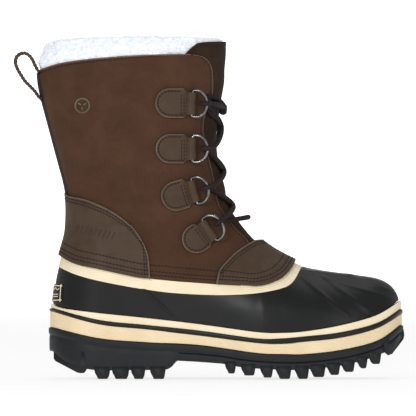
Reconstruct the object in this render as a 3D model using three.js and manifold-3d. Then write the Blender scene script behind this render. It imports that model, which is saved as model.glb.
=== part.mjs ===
// Insulated pac boot, right foot. Millimetres, +Z up, toe towards +X, lateral side towards -Y.
// Every upper layer is a thin solid offset from one common surface: a half width over the side view.
import * as THREE from 'three';
import { mergeVertices } from 'three/addons/utils/BufferGeometryUtils.js';
import Module from 'manifold-3d';

const wasm = await Module();
wasm.setup();

// ---------- driving dimensions ----------
const GAP = 1.0;              // clearance between stacked sole layers
const LEATHER = 1.8;          // quarter leather thickness
const OVERLAY = 1.8;          // counter, vamp tip and back stay leather
const RUBBER = 2.8;           // shell wall
const FELT = 9;               // removable liner
const AROUND = 18;            // grid steps along one side of the boot
const SIDES = [-1, 1];        // lateral, medial
const LACE = 4.4;             // round lace diameter
const WIRE = 2.4;             // ring wire diameter
const RING_HALF = 12.3;       // half height of a ring's bar
const RING_REACH = 11;        // bar to bow tip
const RING_LIFT = 7.4;        // bow tip above bar
const BAR_LIFT = 4.3;         // bar centre above the leather

const DARK_BROWN = 0x4a3326;
const SMOOTH_BROWN = 0x54432f;
const CREAM = 0xfaebc8;
const BLACK = 0x202224;
const PILE_WHITE = 0xeef1f6;
const FELT_GREY = 0xb9b6ae;
const STEEL = 0xb8bcc0;
const LACE_BROWN = 0x30222a;

const TOE_START = 60;         // ahead of this the sections are upright
const SHAFT_START = 150;      // above this the sections are level
const SECTION_RADIUS = 72;    // rounding depth of a section's front

// ---------- side view outlines, [x, z] ----------
const FRONT = [[168.6, 60], [168.2, 69], [165, 77], [158, 84.6], [147, 89.2], [126, 92.3], [105, 94.8],
  [88, 97.6], [75, 102], [62, 109.5], [48, 119], [37, 128.5], [27, 139.5], [19.5, 153], [15, 170],
  [11, 187], [8.6, 205], [9.5, 225], [12.5, 245], [15.5, 264], [17, 297], [17.2, 306]];
const BACK = [[-136, 26], [-137.4, 48], [-138.3, 62], [-137.4, 73], [-135.2, 88], [-132, 102], [-128.5, 114],
  [-125.6, 129], [-124.6, 145], [-125.4, 163], [-127.6, 175], [-131, 187.6], [-139.6, 219.5], [-148.3, 253],
  [-150.6, 273], [-150.4, 306]];
const FEATHER = [[-138.5, 66], [-128, 62.4], [-96.5, 58.4], [-54, 54], [-8, 48.7], [41.6, 42], [63, 41.2],
  [84, 42.5], [116, 47.8], [148, 56.6], [169, 69]];
const SHELL_TOP = [[-132.6, 99], [-117.7, 92.5], [-96.5, 86.7], [-64.6, 80.5], [-32.7, 76.1], [-0.9, 74.3],
  [20.4, 74.3], [41.6, 75.7], [62.8, 79.7], [73.5, 85.4], [82.3, 98.9]];
const LEATHER_EDGE = [[-130.5, 108], [-117.7, 101.3], [-96.5, 96.6], [-64.6, 89.8], [-32.7, 86.3],
  [-0.9, 83.6],
  [31, 81.9], [41.6, 81], [52.2, 82.7], [62.8, 87.2], [70, 93.5], [75.6, 101.7]];
const COLLAR = [[-150.6, 272.4], [-128.1, 278.3], [-90.2, 282.5], [-52.2, 284.7], [-16.8, 285.4], [17, 286]];
const EYESTAY = [[28, 82.2], [33, 100], [35.5, 119], [23, 132.8], [11.5, 148.7], [7.1, 159.3], [4.4, 175.2],
  [0, 194.7], [-4.4, 213.3], [-5, 222], [-3.5, 231.9], [2.7, 248.7], [3.3, 268],
  [1.2, 277], [-5, 283.2], [-16.8, 285.3]];
const COUNTER_TOP = [[-125.4, 163.7], [-121.5, 160.7], [-107.2, 156.9], [-88, 149.2], [-73.5, 139.6],
  [-64, 129], [-57.3, 117.5]];
const COUNTER_FRONT = [[-51.8, 88.3], [-53.4, 106], [-57.3, 117.5]];
const TIP_REAR = [[8.9, 94.5], [13.7, 101], [23.4, 110.6], [37.3, 119.3], [46, 120.5]];

// Sole levels: heights over the length, shared by the stripes and the outsole.
const STRIPE_TOP = [[-138, 62], [-96.5, 51.8], [-54, 47.3], [-8, 42.5], [41.6, 35.8], [63, 35.8], [84, 37.6],
  [116, 41.2], [148, 49.1], [169, 61.1]];
const WEDGE_TOP = [[-138, 59.3], [-96.5, 48.2], [-54, 43.8], [-8, 38.5], [41.6, 32.3], [63, 31.4], [84, 33.2],
  [116, 36.7], [148, 44.7], [169, 56.6]];
const WEDGE_BOTTOM = [[-138, 45.2], [-96.5, 35.8], [-54, 32.3], [-8, 29.8], [41.6, 23], [63, 22.1],
  [84, 22.1],
  [116, 25.7], [148, 33.6], [169, 46.9]];
const TREAD_ROOT = [[-138, 22], [-113, 10.5], [-98, 7.5], [-38, 8], [-29.7, 16.5], [12, 14], [25, 11],
  [42.5, 9], [60, 7.3], [88, 7.3], [103, 9], [115, 10.3], [128, 13.9], [140, 17], [151, 21.9], [172, 33.6]];
const HALF_WIDTH = [[-138, 38], [-98, 38.5], [-54, 38.5], [-20, 40.5], [10, 46], [40, 52.5], [63, 54.5],
  [170, 54.5]];
const SHAFT_HALF = [[60, 0], [140, 42], [165, 43.5], [200, 46], [240, 48.5], [285, 50], [310, 50]];

// Lugs: [rear x, front x, bottom z]
const HEEL_LUGS = [[-134, -110, 4.8], [-98, -89, 0], [-82.5, -72, 0], [-65.8, -57.7, 0], [-49, -34, 0]];
const FORE_LUGS = [[15, 22.5, 5], [31, 39.6, 3.3], [48, 55, 1.5], [62, 71, 0], [78.6, 86.6, 0],
  [92, 101, 1.9], [107, 114, 3.7], [119.5, 127, 6.3], [133.5, 139, 9], [144.5, 151.5, 13], [158, 168, 20.5]];

// Rings, bottom pair last: bar centre in the side view and the tab's upward tilt in degrees
const RINGS = [[-16.8, 242.9, 0], [-16.7, 202.7, 0], [-15, 165.2, 15.5], [-1.4, 130, 35]];
const TAB_LENGTH = [30, 30, 28, 25];
const TAB_HALF = 12.6;

// ---------- small helpers ----------
const spline = (points, count = 60) =>
  new THREE.SplineCurve(points.map(([x, z]) => new THREE.Vector2(x, z))).getSpacedPoints(count);

function interpolate(table, key, value, at) {
  const rising = table[table.length - 1][key] > table[0][key];
  for (let i = 1; i < table.length; i++) {
    const a = table[i - 1], b = table[i];
    const inside = rising ? at <= b[key] : at >= b[key];
    if (inside || i === table.length - 1) {
      const t = THREE.MathUtils.clamp((at - a[key]) / (b[key] - a[key] || 1), 0, 1);
      return a[value] + (b[value] - a[value]) * t;
    }
  }
}

const smooth = (t) => THREE.MathUtils.smoothstep(t, 0, 1);
const frontTable = spline(FRONT, 400);
const toeTable = frontTable.filter((p) => p.x >= TOE_START - 1);
const shaftTable = frontTable.filter((p) => p.y >= SHAFT_START - 1);
const fanTable = frontTable
  .filter((p) => p.x <= TOE_START + 2 && p.y <= SHAFT_START + 3)
  .map((p) => ({ angle: Math.atan2(TOE_START - p.x, SHAFT_START - p.y),
    radius: Math.hypot(TOE_START - p.x, SHAFT_START - p.y) }));
const backTable = spline(BACK, 300);
const heights = (points) => {
  const table = spline(points, 120);
  return (x) => interpolate(table, 'x', 'y', x);
};
const featherAt = heights(FEATHER);
const stripeTopAt = heights(STRIPE_TOP);
const wedgeTopAt = heights(WEDGE_TOP);
const wedgeBottomAt = heights(WEDGE_BOTTOM);
const treadRootAt = (x) => interpolate(TREAD_ROOT.map(([a, b]) => ({ x: a, y: b })), 'x', 'y', x);
const footHalfAt = heights(HALF_WIDTH);
const shaftHalfAt = heights(SHAFT_HALF);
const backAt = (z) => interpolate(backTable, 'y', 'x', z);

// Centre line in plan: the toe leans to the medial side, the waist is hollowed on it.
const centreAt = (x, z) => {
  const low = 1 - smooth((z - 90) / 50);
  const toe = 7 * Math.max(0, (x - 20) / 148) ** 2;
  const waist = -2.5 * Math.exp(-(((x + 25) / 45) ** 2));
  return toe * (1 - smooth((z - 110) / 30)) + waist * low;
};

// How far a side-view point is behind the front outline, 0 on it and 1 where the section is full.
function frontDepth(x, z) {
  if (x >= TOE_START) {
    const top = interpolate(toeTable, 'x', 'y', x);
    return (top - z) / Math.max(6, top - featherAt(x) + 12);
  }
  if (z >= SHAFT_START) return (interpolate(shaftTable, 'y', 'x', z) - x) / SECTION_RADIUS;
  const angle = Math.atan2(TOE_START - x, SHAFT_START - z);
  const radius = Math.hypot(TOE_START - x, SHAFT_START - z);
  return (radius - interpolate(fanTable, 'angle', 'radius', angle)) / SECTION_RADIUS;
}

const rounded = (depth, power = 2) => {
  const d = THREE.MathUtils.clamp(depth, 0, 1);
  return Math.sqrt(Math.max(0, 1 - (1 - d) ** power));
};

// Half width of the boot at a side-view point.
function halfWidth(x, z) {
  const upper = smooth((z - 60) / 80);
  const plateau = footHalfAt(x) * (1 - upper) + Math.max(40, shaftHalfAt(Math.max(z, 120))) * upper;
  const ahead = Math.max(0, (x - TOE_START) / (168.7 - TOE_START));
  const toe = Math.sqrt(Math.max(0, 1 - ahead ** 2.6));
  const backRound = 42 + 32 * smooth((z - 100) / 110);
  const heel = rounded((x - backAt(z)) / backRound);
  return plateau * toe * heel * rounded(frontDepth(x, z), 2.3);
}

const surfacePoint = (x, z, side) =>
  new THREE.Vector3(x, centreAt(x, z) + side * halfWidth(x, z), z);

// ---------- patches on the surface ----------
const curveAt = (points, straight = false) => {
  const curve = straight
    ? new THREE.Path(points.map(([x, z]) => new THREE.Vector2(x, z)))
    : new THREE.SplineCurve(points.map(([x, z]) => new THREE.Vector2(x, z)));
  return (t) => curve.getPointAt(THREE.MathUtils.clamp(t, 0, 1));
};

// The stretch of an outline between two of its points, as a curve on 0..1
function stretch(table, from, to) {
  const nearest = (p) => table.reduce((best, q, i) =>
    (Math.hypot(q.x - p[0], q.y - p[1]) < Math.hypot(table[best].x - p[0], table[best].y - p[1])
      ? i : best), 0);
  const a = nearest(from), b = nearest(to);
  const piece = [];
  for (let i = 0; i <= 30; i++) piece.push(table[Math.round(a + ((b - a) * i) / 30)]);
  return (t) => {
    const place = t * 30, k = Math.min(29, Math.floor(place));
    return piece[k].clone().lerp(piece[k + 1], place - k);
  };
}

// Side-view point inside four edges (bottom, top from back to front; left, right from low to high).
function coons(edges, s, t) {
  const { bottom, top, left, right } = edges;
  const mix = (a, b, k) => a.clone().lerp(b, k);
  const level = mix(bottom(s), top(s), t);
  const upright = mix(left(t), right(t), s);
  const corners = mix(mix(bottom(0), bottom(1), s), mix(top(0), top(1), s), t);
  return level.add(upright).sub(corners);
}

const spread = (k, leftRound, rightRound) => {
  if (leftRound && rightRound) return (1 - Math.cos(Math.PI * k)) / 2;
  if (rightRound) return Math.sin((Math.PI / 2) * k);
  if (leftRound) return 1 - Math.cos((Math.PI / 2) * k);
  return k;
};

// A grid over a patch. wrapBack and wrapFront say whether it crosses the centre line there.
function patchGrid(edges, { wrapBack, wrapFront, roundBack, around = AROUND, up = 10, side = -1, levels }) {
  const rows = [];
  const steps = levels ?? Array.from({ length: up + 1 }, (_, j) => j / up);
  for (const t of steps) {
    const row = [];
    const put = (k, whichSide) => {
      const p = coons(edges, spread(k, wrapBack || roundBack, wrapFront), t);
      row.push(surfacePoint(p.x, p.y, whichSide));
    };
    if (wrapBack && wrapFront) {
      for (let i = 0; i <= around; i++) put(i / around, -1);
      for (let i = around - 1; i >= 1; i--) put(i / around, 1);
    } else if (wrapFront) {
      for (let i = 0; i <= around; i++) put(i / around, -1);
      for (let i = around - 1; i >= 0; i--) put(i / around, 1);
    } else if (wrapBack) {
      for (let i = around; i >= 0; i--) put(i / around, -1);
      for (let i = 1; i <= around; i++) put(i / around, 1);
    } else for (let i = 0; i <= around; i++) put(i / around, side);
    rows.push(row);
  }
  return { rows, closed: Boolean(wrapBack && wrapFront) };
}

function gridNormals({ rows, closed }) {
  const n = rows[0].length, m = rows.length;
  const centre = new THREE.Vector3();
  return rows.map((row, j) => row.map((p, i) => {
    const along = new THREE.Vector3().subVectors(
      row[closed ? (i + 1) % n : Math.min(n - 1, i + 1)], row[closed ? (i - 1 + n) % n : Math.max(0, i - 1)]);
    const upward = new THREE.Vector3().subVectors(
      rows[Math.min(m - 1, j + 1)][i], rows[Math.max(0, j - 1)][i]);
    const normal = along.cross(upward).normalize();
    centre.set(THREE.MathUtils.clamp(p.x, -70, 100), 0, p.z > 150 ? p.z : Math.min(p.z, 60));
    if (normal.dot(centre.sub(p)) > 0) normal.negate();
    return normal;
  }));
}

// The grid's rows moved along its normals; the offset may be a number or a function of the row.
function offsetRows(grid, value) {
  const normals = gridNormals(grid), last = grid.rows.length - 1;
  const offset = (j, p) => (typeof value === 'function' ? value(j, last, p) : value);
  return grid.rows.map((row, j) => row.map((p, i) => p.clone().addScaledVector(normals[j][i], offset(j, p))));
}

// Thin solid between two offsets of a grid
function sheet(grid, outer, inner) {
  const { rows, closed } = grid;
  const n = rows[0].length, m = rows.length;
  const points = [...offsetRows(grid, outer).flat(), ...offsetRows(grid, inner).flat()];
  const at = (shell, j, i) => shell * n * m + j * n + (i % n);
  const faces = [];
  const quad = (a, b, c, d) => faces.push(a, b, c, a, c, d);
  const columns = closed ? n : n - 1;
  for (let j = 0; j < m - 1; j++) {
    for (let i = 0; i < columns; i++) {
      quad(at(0, j, i), at(0, j, i + 1), at(0, j + 1, i + 1), at(0, j + 1, i));
      quad(at(1, j, i), at(1, j + 1, i), at(1, j + 1, i + 1), at(1, j, i + 1));
    }
    if (!closed) {
      quad(at(0, j, 0), at(0, j + 1, 0), at(1, j + 1, 0), at(1, j, 0));
      quad(at(0, j, n - 1), at(1, j, n - 1), at(1, j + 1, n - 1), at(0, j + 1, n - 1));
    }
  }
  for (let i = 0; i < columns; i++) {
    quad(at(0, 0, i), at(1, 0, i), at(1, 0, i + 1), at(0, 0, i + 1));
    quad(at(0, m - 1, i), at(0, m - 1, i + 1), at(1, m - 1, i + 1), at(1, m - 1, i));
  }
  return geometryFrom(points, faces);
}

function geometryFrom(points, faces) {
  let geometry = new THREE.BufferGeometry();
  const flat = points.flatMap((p) => [p.x, p.y, p.z]);
  geometry.setAttribute('position', new THREE.Float32BufferAttribute(flat, 3));
  geometry.setIndex(faces);
  geometry = mergeVertices(geometry, 1e-3);
  return faceOut(dropSlivers(geometry));
}

function dropSlivers(geometry) {
  const index = Array.from(geometry.index.array), kept = [];
  for (let i = 0; i < index.length; i += 3) {
    const [a, b, c] = index.slice(i, i + 3);
    if (a !== b && b !== c && a !== c) kept.push(a, b, c);
  }
  geometry.setIndex(kept);
  return geometry;
}

function faceOut(geometry) {
  const position = geometry.attributes.position, index = geometry.index.array;
  const a = new THREE.Vector3(), b = new THREE.Vector3(), c = new THREE.Vector3();
  let volume = 0;
  for (let i = 0; i < index.length; i += 3) {
    a.fromBufferAttribute(position, index[i]);
    b.fromBufferAttribute(position, index[i + 1]);
    c.fromBufferAttribute(position, index[i + 2]);
    volume += a.dot(b.cross(c));
  }
  if (volume < 0) {
    const flipped = Array.from(index);
    for (let i = 0; i < flipped.length; i += 3) [flipped[i], flipped[i + 1]] = [flipped[i + 1], flipped[i]];
    geometry.setIndex(flipped);
  }
  return geometry;
}

// ---------- booleans ----------
function solidOf(geometry) {
  let plain = geometry.clone();
  plain.deleteAttribute('normal');
  plain.deleteAttribute('uv');
  plain = mergeVertices(plain, 1e-4);
  return new wasm.Manifold(new wasm.Mesh({ numProp: 3,
    vertProperties: new Float32Array(plain.attributes.position.array),
    triVerts: new Uint32Array(plain.index.array) }));
}

function geometryOf(solid) {
  const mesh = solid.getMesh();
  const geometry = new THREE.BufferGeometry();
  geometry.setAttribute('position', new THREE.Float32BufferAttribute(Array.from(mesh.vertProperties), 3));
  geometry.setIndex(Array.from(mesh.triVerts));
  return geometry;
}

const join = (geometries) => geometryOf(geometries.map(solidOf).reduce((a, b) => a.add(b)));
const cut = (geometry, tool) => geometryOf(solidOf(geometry).subtract(solidOf(tool)));

// A side-view outline extruded from y0 to y1
function sideExtrusion(outline, y0, y1) {
  const shape = new THREE.Shape(outline.map(([x, z]) => new THREE.Vector2(x, z)));
  const geometry = new THREE.ExtrudeGeometry(shape, { depth: y1 - y0, bevelEnabled: false });
  return geometry.rotateX(Math.PI / 2).translate(0, y1, 0);
}

const tubeAlong = (curve, radius, steps, sides = 8) => {
  const section = new THREE.Shape();
  for (let i = 0; i < sides; i++) {
    const angle = (2 * Math.PI * i) / sides;
    const place = [radius * Math.cos(angle), radius * Math.sin(angle)];
    if (i === 0) section.moveTo(...place);
    else section.lineTo(...place);
  }
  section.closePath();
  return new THREE.ExtrudeGeometry(section, { extrudePath: curve, steps, bevelEnabled: false });
};

// ---------- object ----------
const boot = new THREE.Group();
const finish = {
  nubuck: { color: DARK_BROWN, roughness: 0.9, metalness: 0 },
  smooth: { color: SMOOTH_BROWN, roughness: 0.6, metalness: 0 },
  cream: { color: CREAM, roughness: 0.6, metalness: 0 },
  black: { color: BLACK, roughness: 0.45, metalness: 0 },
  pile: { color: PILE_WHITE, roughness: 1, metalness: 0 },
  felt: { color: FELT_GREY, roughness: 1, metalness: 0 },
  steel: { color: STEEL, roughness: 0.3, metalness: 1 },
  lace: { color: LACE_BROWN, roughness: 0.85, metalness: 0 },
};

function place(name, geometry, kind) {
  const mesh = new THREE.Mesh(geometry, new THREE.MeshStandardMaterial(finish[kind]));
  mesh.name = name;
  boot.add(mesh);
  return mesh;
}

// ---------- sole ----------
const HEEL_END = -138.4;      // the plan outline's ends
const TOE_END = 168.6;
const HEEL_ROUND = 40.4;      // length of its rounded heel
const OUTSOLE_OUT = 3.4;      // how far each layer stands out past the plan outline
const WEDGE_OUT = 2.2;
const STRIPE_OUT = 2.6;
const WELT_OUT = 1.6;
const WEDGE_IN = -9;          // and how far in each band reaches
const STRIPE_IN = -3.4;
const WELT_IN = -3.2;
const FILLER_OUT = -9.5;
const CHANNEL_HALF = 8;       // open channel between the lateral and medial lugs
const LUG_REACH = 66;         // past the widest edge; the outline trims it

// Plan outline of the boot at the sole, grown by an amount, as a closed ring of points.
function planRing(grow, around = AROUND) {
  const ring = [];
  const add = (k, side) => {
    const s = (1 - Math.cos(Math.PI * k)) / 2;
    const x = THREE.MathUtils.lerp(HEEL_END, TOE_END, s);
    const ahead = Math.max(0, (x - TOE_START) / (TOE_END - TOE_START));
    const behind = Math.max(0, (HEEL_END + HEEL_ROUND - x) / HEEL_ROUND);
    const ends = Math.sqrt(Math.max(0, 1 - ahead ** 2.6)) * Math.sqrt(Math.max(0, 1 - behind ** 2));
    const half = footHalfAt(x) * ends;
    ring.push(new THREE.Vector2(x, centreAt(x, 40) + side * half));
  };
  for (let i = 0; i <= around; i++) add(i / around, -1);
  for (let i = around - 1; i >= 1; i--) add(i / around, 1);
  return ring.map((p, i) => {
    const before = ring[(i - 1 + ring.length) % ring.length], after = ring[(i + 1) % ring.length];
    const tangent = new THREE.Vector2().subVectors(after, before).normalize();
    return new THREE.Vector2(p.x + tangent.y * grow, p.y - tangent.x * grow);
  });
}

// Band or plate following the plan outline between two height functions.
function soleBand(outerGrow, innerGrow, bottomAt, topAt) {
  const outer = planRing(outerGrow), inner = planRing(innerGrow);
  const rings = [lift(outer, bottomAt), lift(outer, topAt), lift(inner, topAt), lift(inner, bottomAt)];
  const n = outer.length, faces = [];
  rings.forEach((_, j) => {
    const next = (j + 1) % rings.length;
    for (let i = 0; i < n; i++) {
      const k = (i + 1) % n;
      faces.push(j * n + i, j * n + k, next * n + k, j * n + i, next * n + k, next * n + i);
    }
  });
  return geometryFrom(rings.flat(), faces);
}

const lift = (ring, heightAt) => ring.map((p) => new THREE.Vector3(p.x, p.y, heightAt(p.x)));

// Closed solid through a row of rings with the same number of points; the first and last are filled in.
function ringLoft(rings) {
  const n = rings[0].length, last = rings.length - 1, faces = [];
  for (let j = 0; j < last; j++) {
    for (let i = 0; i < n; i++) {
      const a = j * n + i, b = j * n + ((i + 1) % n);
      faces.push(a, b, b + n, a, b + n, a + n);
    }
  }
  for (let i = 0; i < n / 2; i++) {
    const a = i, b = i + 1, c = (n - i) % n, d = n - i - 1, top = last * n;
    faces.push(a, d, b, a, c, d, top + a, top + b, top + d, top + a, top + d, top + c);
  }
  return geometryFrom(rings.flat(), faces);
}

const solePlate = (grow, bottomAt, topAt) => {
  const ring = planRing(grow);
  return ringLoft([lift(ring, bottomAt), lift(ring, topAt)]);
};

// One lug row: a trapezoid block across the sole, trimmed by the sole's own outline.
function lugBlock([rear, front, bottom], y0, y1) {
  const root = Math.max(treadRootAt(rear), treadRootAt(front)) + 3;
  return sideExtrusion([[rear - 3, root], [rear, bottom], [front, bottom], [front + 2, root]], y0, y1);
}

function lugRows() {
  const blocks = [];
  HEEL_LUGS.forEach((lug, i) => {
    if (i === 0) blocks.push(lugBlock(lug, -LUG_REACH, LUG_REACH));
    else blocks.push(lugBlock(lug, -LUG_REACH, -CHANNEL_HALF), lugBlock(lug, CHANNEL_HALF, LUG_REACH));
  });
  FORE_LUGS.forEach((lug, i) => {
    if (i >= FORE_LUGS.length - 2) blocks.push(lugBlock(lug, -LUG_REACH, LUG_REACH));
    else blocks.push(lugBlock(lug, -LUG_REACH, -CHANNEL_HALF), lugBlock(lug, CHANNEL_HALF, LUG_REACH));
  });
  return blocks.map(solidOf).reduce((a, b) => a.add(b));
}

const shankPocket = (grow) => sideExtrusion([[-92 - grow, 26.5 - grow], [28 + grow, 19 - grow],
  [28 + grow, 22.5 + grow], [-92 - grow, 30 + grow]], -8 - grow, 8 + grow);

const outsoleBody = solePlate(OUTSOLE_OUT, treadRootAt, (x) => wedgeBottomAt(x) - GAP);
const outline = solidOf(solePlate(OUTSOLE_OUT, () => -4, (x) => wedgeBottomAt(x) - 2));
const pocketOpen = sideExtrusion([[-92.5, 26], [28.5, 18.5], [28.5, 60], [-92.5, 60]], -8.5, 8.5);
const treaded = solidOf(outsoleBody).add(lugRows().intersect(outline));
place('outsole', geometryOf(treaded.subtract(solidOf(pocketOpen))), 'black');
place('steel_shank', shankPocket(0), 'steel');
place('midsole_wedge', soleBand(WEDGE_OUT, WEDGE_IN, wedgeBottomAt, (x) => wedgeTopAt(x) - GAP), 'cream');
place('sole_filler', solePlate(FILLER_OUT, wedgeBottomAt, (x) => wedgeTopAt(x) - GAP - 0.4), 'felt');
place('black_stripe', soleBand(STRIPE_OUT, STRIPE_IN, wedgeTopAt, (x) => stripeTopAt(x) - GAP), 'black');
place('welt_stripe', soleBand(WELT_OUT, WELT_IN, stripeTopAt, (x) => featherAt(x) - 0.9), 'cream');

// ---------- rubber shell ----------
const heelWall = stretch(backTable, [-138.3, 66], [-132.6, 99]);
const toeWall = stretch(frontTable, [168.2, 69], [86, 98]);
const shellEdges = { bottom: curveAt(FEATHER), top: curveAt(SHELL_TOP), left: heelWall, right: toeWall };
const wrapAll = { wrapBack: true, wrapFront: true };

const SHELL_FLOOR_OUT = -4.7;  // the shell's turned-in floor, just inside the welt
const SHELL_FLOOR_UP = 0.3;
function shellGeometry() {
  const wall = patchGrid(shellEdges, { ...wrapAll, up: 6 });
  const flange = patchGrid(bandEdges(flangeLow, flangeHigh), { ...wrapAll, up: 2 });
  const outerWall = offsetRows(wall, 0), innerWall = offsetRows(wall, -RUBBER).slice(1);
  const outerFlange = offsetRows(flange, -2.2), innerFlange = offsetRows(flange, -4);
  const floorAt = (x) => wedgeTopAt(x) + SHELL_FLOOR_UP;
  return ringLoft([
    lift(planRing(SHELL_FLOOR_OUT), floorAt),
    lift(planRing(SHELL_FLOOR_OUT + 0.3), (x) => featherAt(x) - 0.3),
    ...outerWall,
    ...outerFlange,
    ...innerFlange.reverse(),
    ...innerWall.slice(0, -1).reverse(),
    lift(planRing(SHELL_FLOOR_OUT + 0.3 - RUBBER), (x) => featherAt(x) + 3),
    lift(planRing(SHELL_FLOOR_OUT - RUBBER), (x) => floorAt(x) + RUBBER),
  ]);
}

// ---------- rim, leather upper ----------
const raised = (points, lift) => points.map(([x, z]) => [x, z + lift]);
const straightEdge = (a, b) => curveAt([a, b], true);
const shift = (curve, dx) => (t) => curve(t).add(new THREE.Vector2(dx, 0));

// Band all round the boot between two ring outlines
function bandEdges(low, high) {
  const first = low[0], last = low[low.length - 1], topFirst = high[0], topLast = high[high.length - 1];
  return { bottom: curveAt(low), top: curveAt(high), left: stretch(backTable, first, topFirst),
    right: stretch(frontTable, last, topLast) };
}

const flangeLow = raised(SHELL_TOP, 0.2);
flangeLow[flangeLow.length - 1] = [81.6, 99.1];
const flangeHigh = raised(LEATHER_EDGE, 3);
flangeHigh[flangeHigh.length - 1] = [72, 103.5];
place('rubber_shell', shellGeometry(), 'black');

const rimLow = raised(SHELL_TOP, 1);
rimLow[rimLow.length - 1] = [80.4, 99.6];
const rimHigh = raised(LEATHER_EDGE, 3.5);
rimHigh[rimHigh.length - 1] = [71, 104];
place('shell_rim', sheet(patchGrid(bandEdges(rimLow, rimHigh), { ...wrapAll, up: 3 }), -0.3, -1.7), 'cream');

const HEM_SWELL = 2.1;        // the quarter's lower hem stands out over the rim
const collarRun = COLLAR.slice(0, 5);
const quarterEdges = {
  bottom: curveAt([...LEATHER_EDGE.slice(0, 6), [28, 82.2]]),
  top: curveAt(collarRun),
  left: shift(stretch(backTable, LEATHER_EDGE[0], COLLAR[0]), 0.06),
  right: curveAt(EYESTAY),
};
const quarterLevels = [0, 0.03, 0.06, 0.1, 0.15, 0.2, 0.26, 0.33, 0.41, 0.5, 0.6, 0.7, 0.8, 0.9, 1];
const levelOffset = (value) => (j) => {
  const t = quarterLevels[j];
  return HEM_SWELL * (1 - smooth((t - 0.03) / 0.12)) + value;
};
SIDES.forEach((side) => place(side < 0 ? 'quarter_lateral' : 'quarter_medial',
  sheet(patchGrid(quarterEdges, { side, around: 18, levels: quarterLevels, roundBack: true }),
    levelOffset(0), levelOffset(-LEATHER)), 'nubuck'));

const OVER_QUARTER = HEM_SWELL + 0.5;
const counterEdges = { bottom: curveAt(LEATHER_EDGE.slice(0, 4).concat([[-51.8, 88.3]])),
  top: curveAt(COUNTER_TOP), left: stretch(backTable, LEATHER_EDGE[0], COUNTER_TOP[0]),
  right: curveAt(COUNTER_FRONT) };
const counterInner = (j, last) => OVER_QUARTER - 1.6 * smooth((j / last - 0.35) / 0.5);
place('heel_counter', sheet(patchGrid(counterEdges, { wrapBack: true, around: 14, up: 8 }),
  (j, last) => counterInner(j, last) + OVERLAY, counterInner), 'smooth');

const tipEdges = { bottom: curveAt([[6.7, 83.4], [31, 81.9], [41.6, 81], [52.2, 82.7], [62.8, 87.2],
  [70, 93.5], [75.6, 101.7]]), top: curveAt(TIP_REAR), left: straightEdge([6.7, 83.4], TIP_REAR[0]),
right: stretch(frontTable, [75.6, 101.7], [46, 120.5]) };
place('vamp_tip', sheet(patchGrid(tipEdges, { wrapFront: true, around: 16, up: 6 }),
  OVER_QUARTER + OVERLAY, OVER_QUARTER), 'smooth');

const stayBack = stretch(backTable, [-125.9, 166], [-150.5, 271]);
place('back_stay', sheet(patchGrid({ bottom: straightEdge([-125.9, 166], [-125.2, 166]),
  top: straightEdge([-150.5, 271], [-149.8, 271]), left: stayBack, right: shift(stayBack, 0.7) },
{ wrapBack: true, around: 3, up: 8 }), 0.5 + OVERLAY, 0.5), 'smooth');

// Bellows tongue: runs from under the vamp tip to above the collar, its folds under both quarters
const TONGUE_REAR = [[40, 98], [22, 112], [2, 135], [-10, 160], [-18, 190], [-22, 215], [-22, 240],
  [-21, 284.6]];
const tongueEdges = { bottom: curveAt([[40, 98], [52, 99], [62, 103], [68, 106]]),
  top: curveAt([[-21, 284.6], [-11.5, 293.2], [-4.4, 296.2], [17, 297.5]]), left: curveAt(TONGUE_REAR),
  right: stretch(frontTable, [68, 106], [17, 297.5]) };
place('bellows_tongue', sheet(patchGrid(tongueEdges, { wrapFront: true, around: 9, up: 16 }), -3, -4.8),
  'nubuck');

// ---------- liner, cuff, insole ----------
const LINER_OUT = -6.4;      // the liner's outside, inside the tongue and quarters
const linerLow = raised(FEATHER, 6);
linerLow[0] = [-137.8, 72];
linerLow[linerLow.length - 1] = [166.8, 74];
const linerHigh = raised(COLLAR, -1.2);
const INSOLE_UP = 3.8;        // board above the wedge top
const SOLE_UP = 6.4;          // felt sole above the wedge top
const aboveWedge = (lift) => (x) => wedgeTopAt(x) + lift;
const linerLevels = [0, 0.08, 0.16, 0.23, 0.3, 0.36, 0.42, 0.48, 0.54, 0.6, 0.68, 0.76, 0.84, 0.92, 1];
function linerGeometry() {
  const wall = patchGrid(bandEdges(linerLow, linerHigh), { ...wrapAll, levels: linerLevels });
  return ringLoft([
    lift(planRing(-8.8), aboveWedge(SOLE_UP)),
    lift(planRing(-9.2), (x) => featherAt(x) + 2),
    ...offsetRows(wall, (j) => LINER_OUT - (j === 0 ? 2.6 : 0)),
    ...offsetRows(wall, LINER_OUT - FELT).reverse(),
    lift(planRing(-8.8 - FELT + 2), aboveWedge(SOLE_UP + FELT)),
  ]);
}
place('felt_liner', linerGeometry(), 'felt');
place('insole_board', solePlate(-8.4, aboveWedge(INSOLE_UP), aboveWedge(INSOLE_UP + 2)), 'felt');
place('footbed', solePlate(-21, aboveWedge(SOLE_UP + FELT + 0.6), aboveWedge(SOLE_UP + FELT + 4.6)), 'felt');

const CUFF_TOP = [[-149, 296], [-134, 299], [-95, 301], [-57, 301.4], [-14, 301], [16, 300]];
const cuffOuter = (j, last, p) => {
  const bulge = Math.sin(Math.PI * Math.min(1, 0.25 + (0.75 * j) / last));
  return -6.5 + 5.5 * bulge * (1 - smooth((p.x + 50) / 25));
};
place('pile_cuff', sheet(patchGrid(bandEdges(raised(COLLAR, 1.2), CUFF_TOP), { ...wrapAll, up: 4 }),
  cuffOuter, -19), 'pile');

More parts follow.
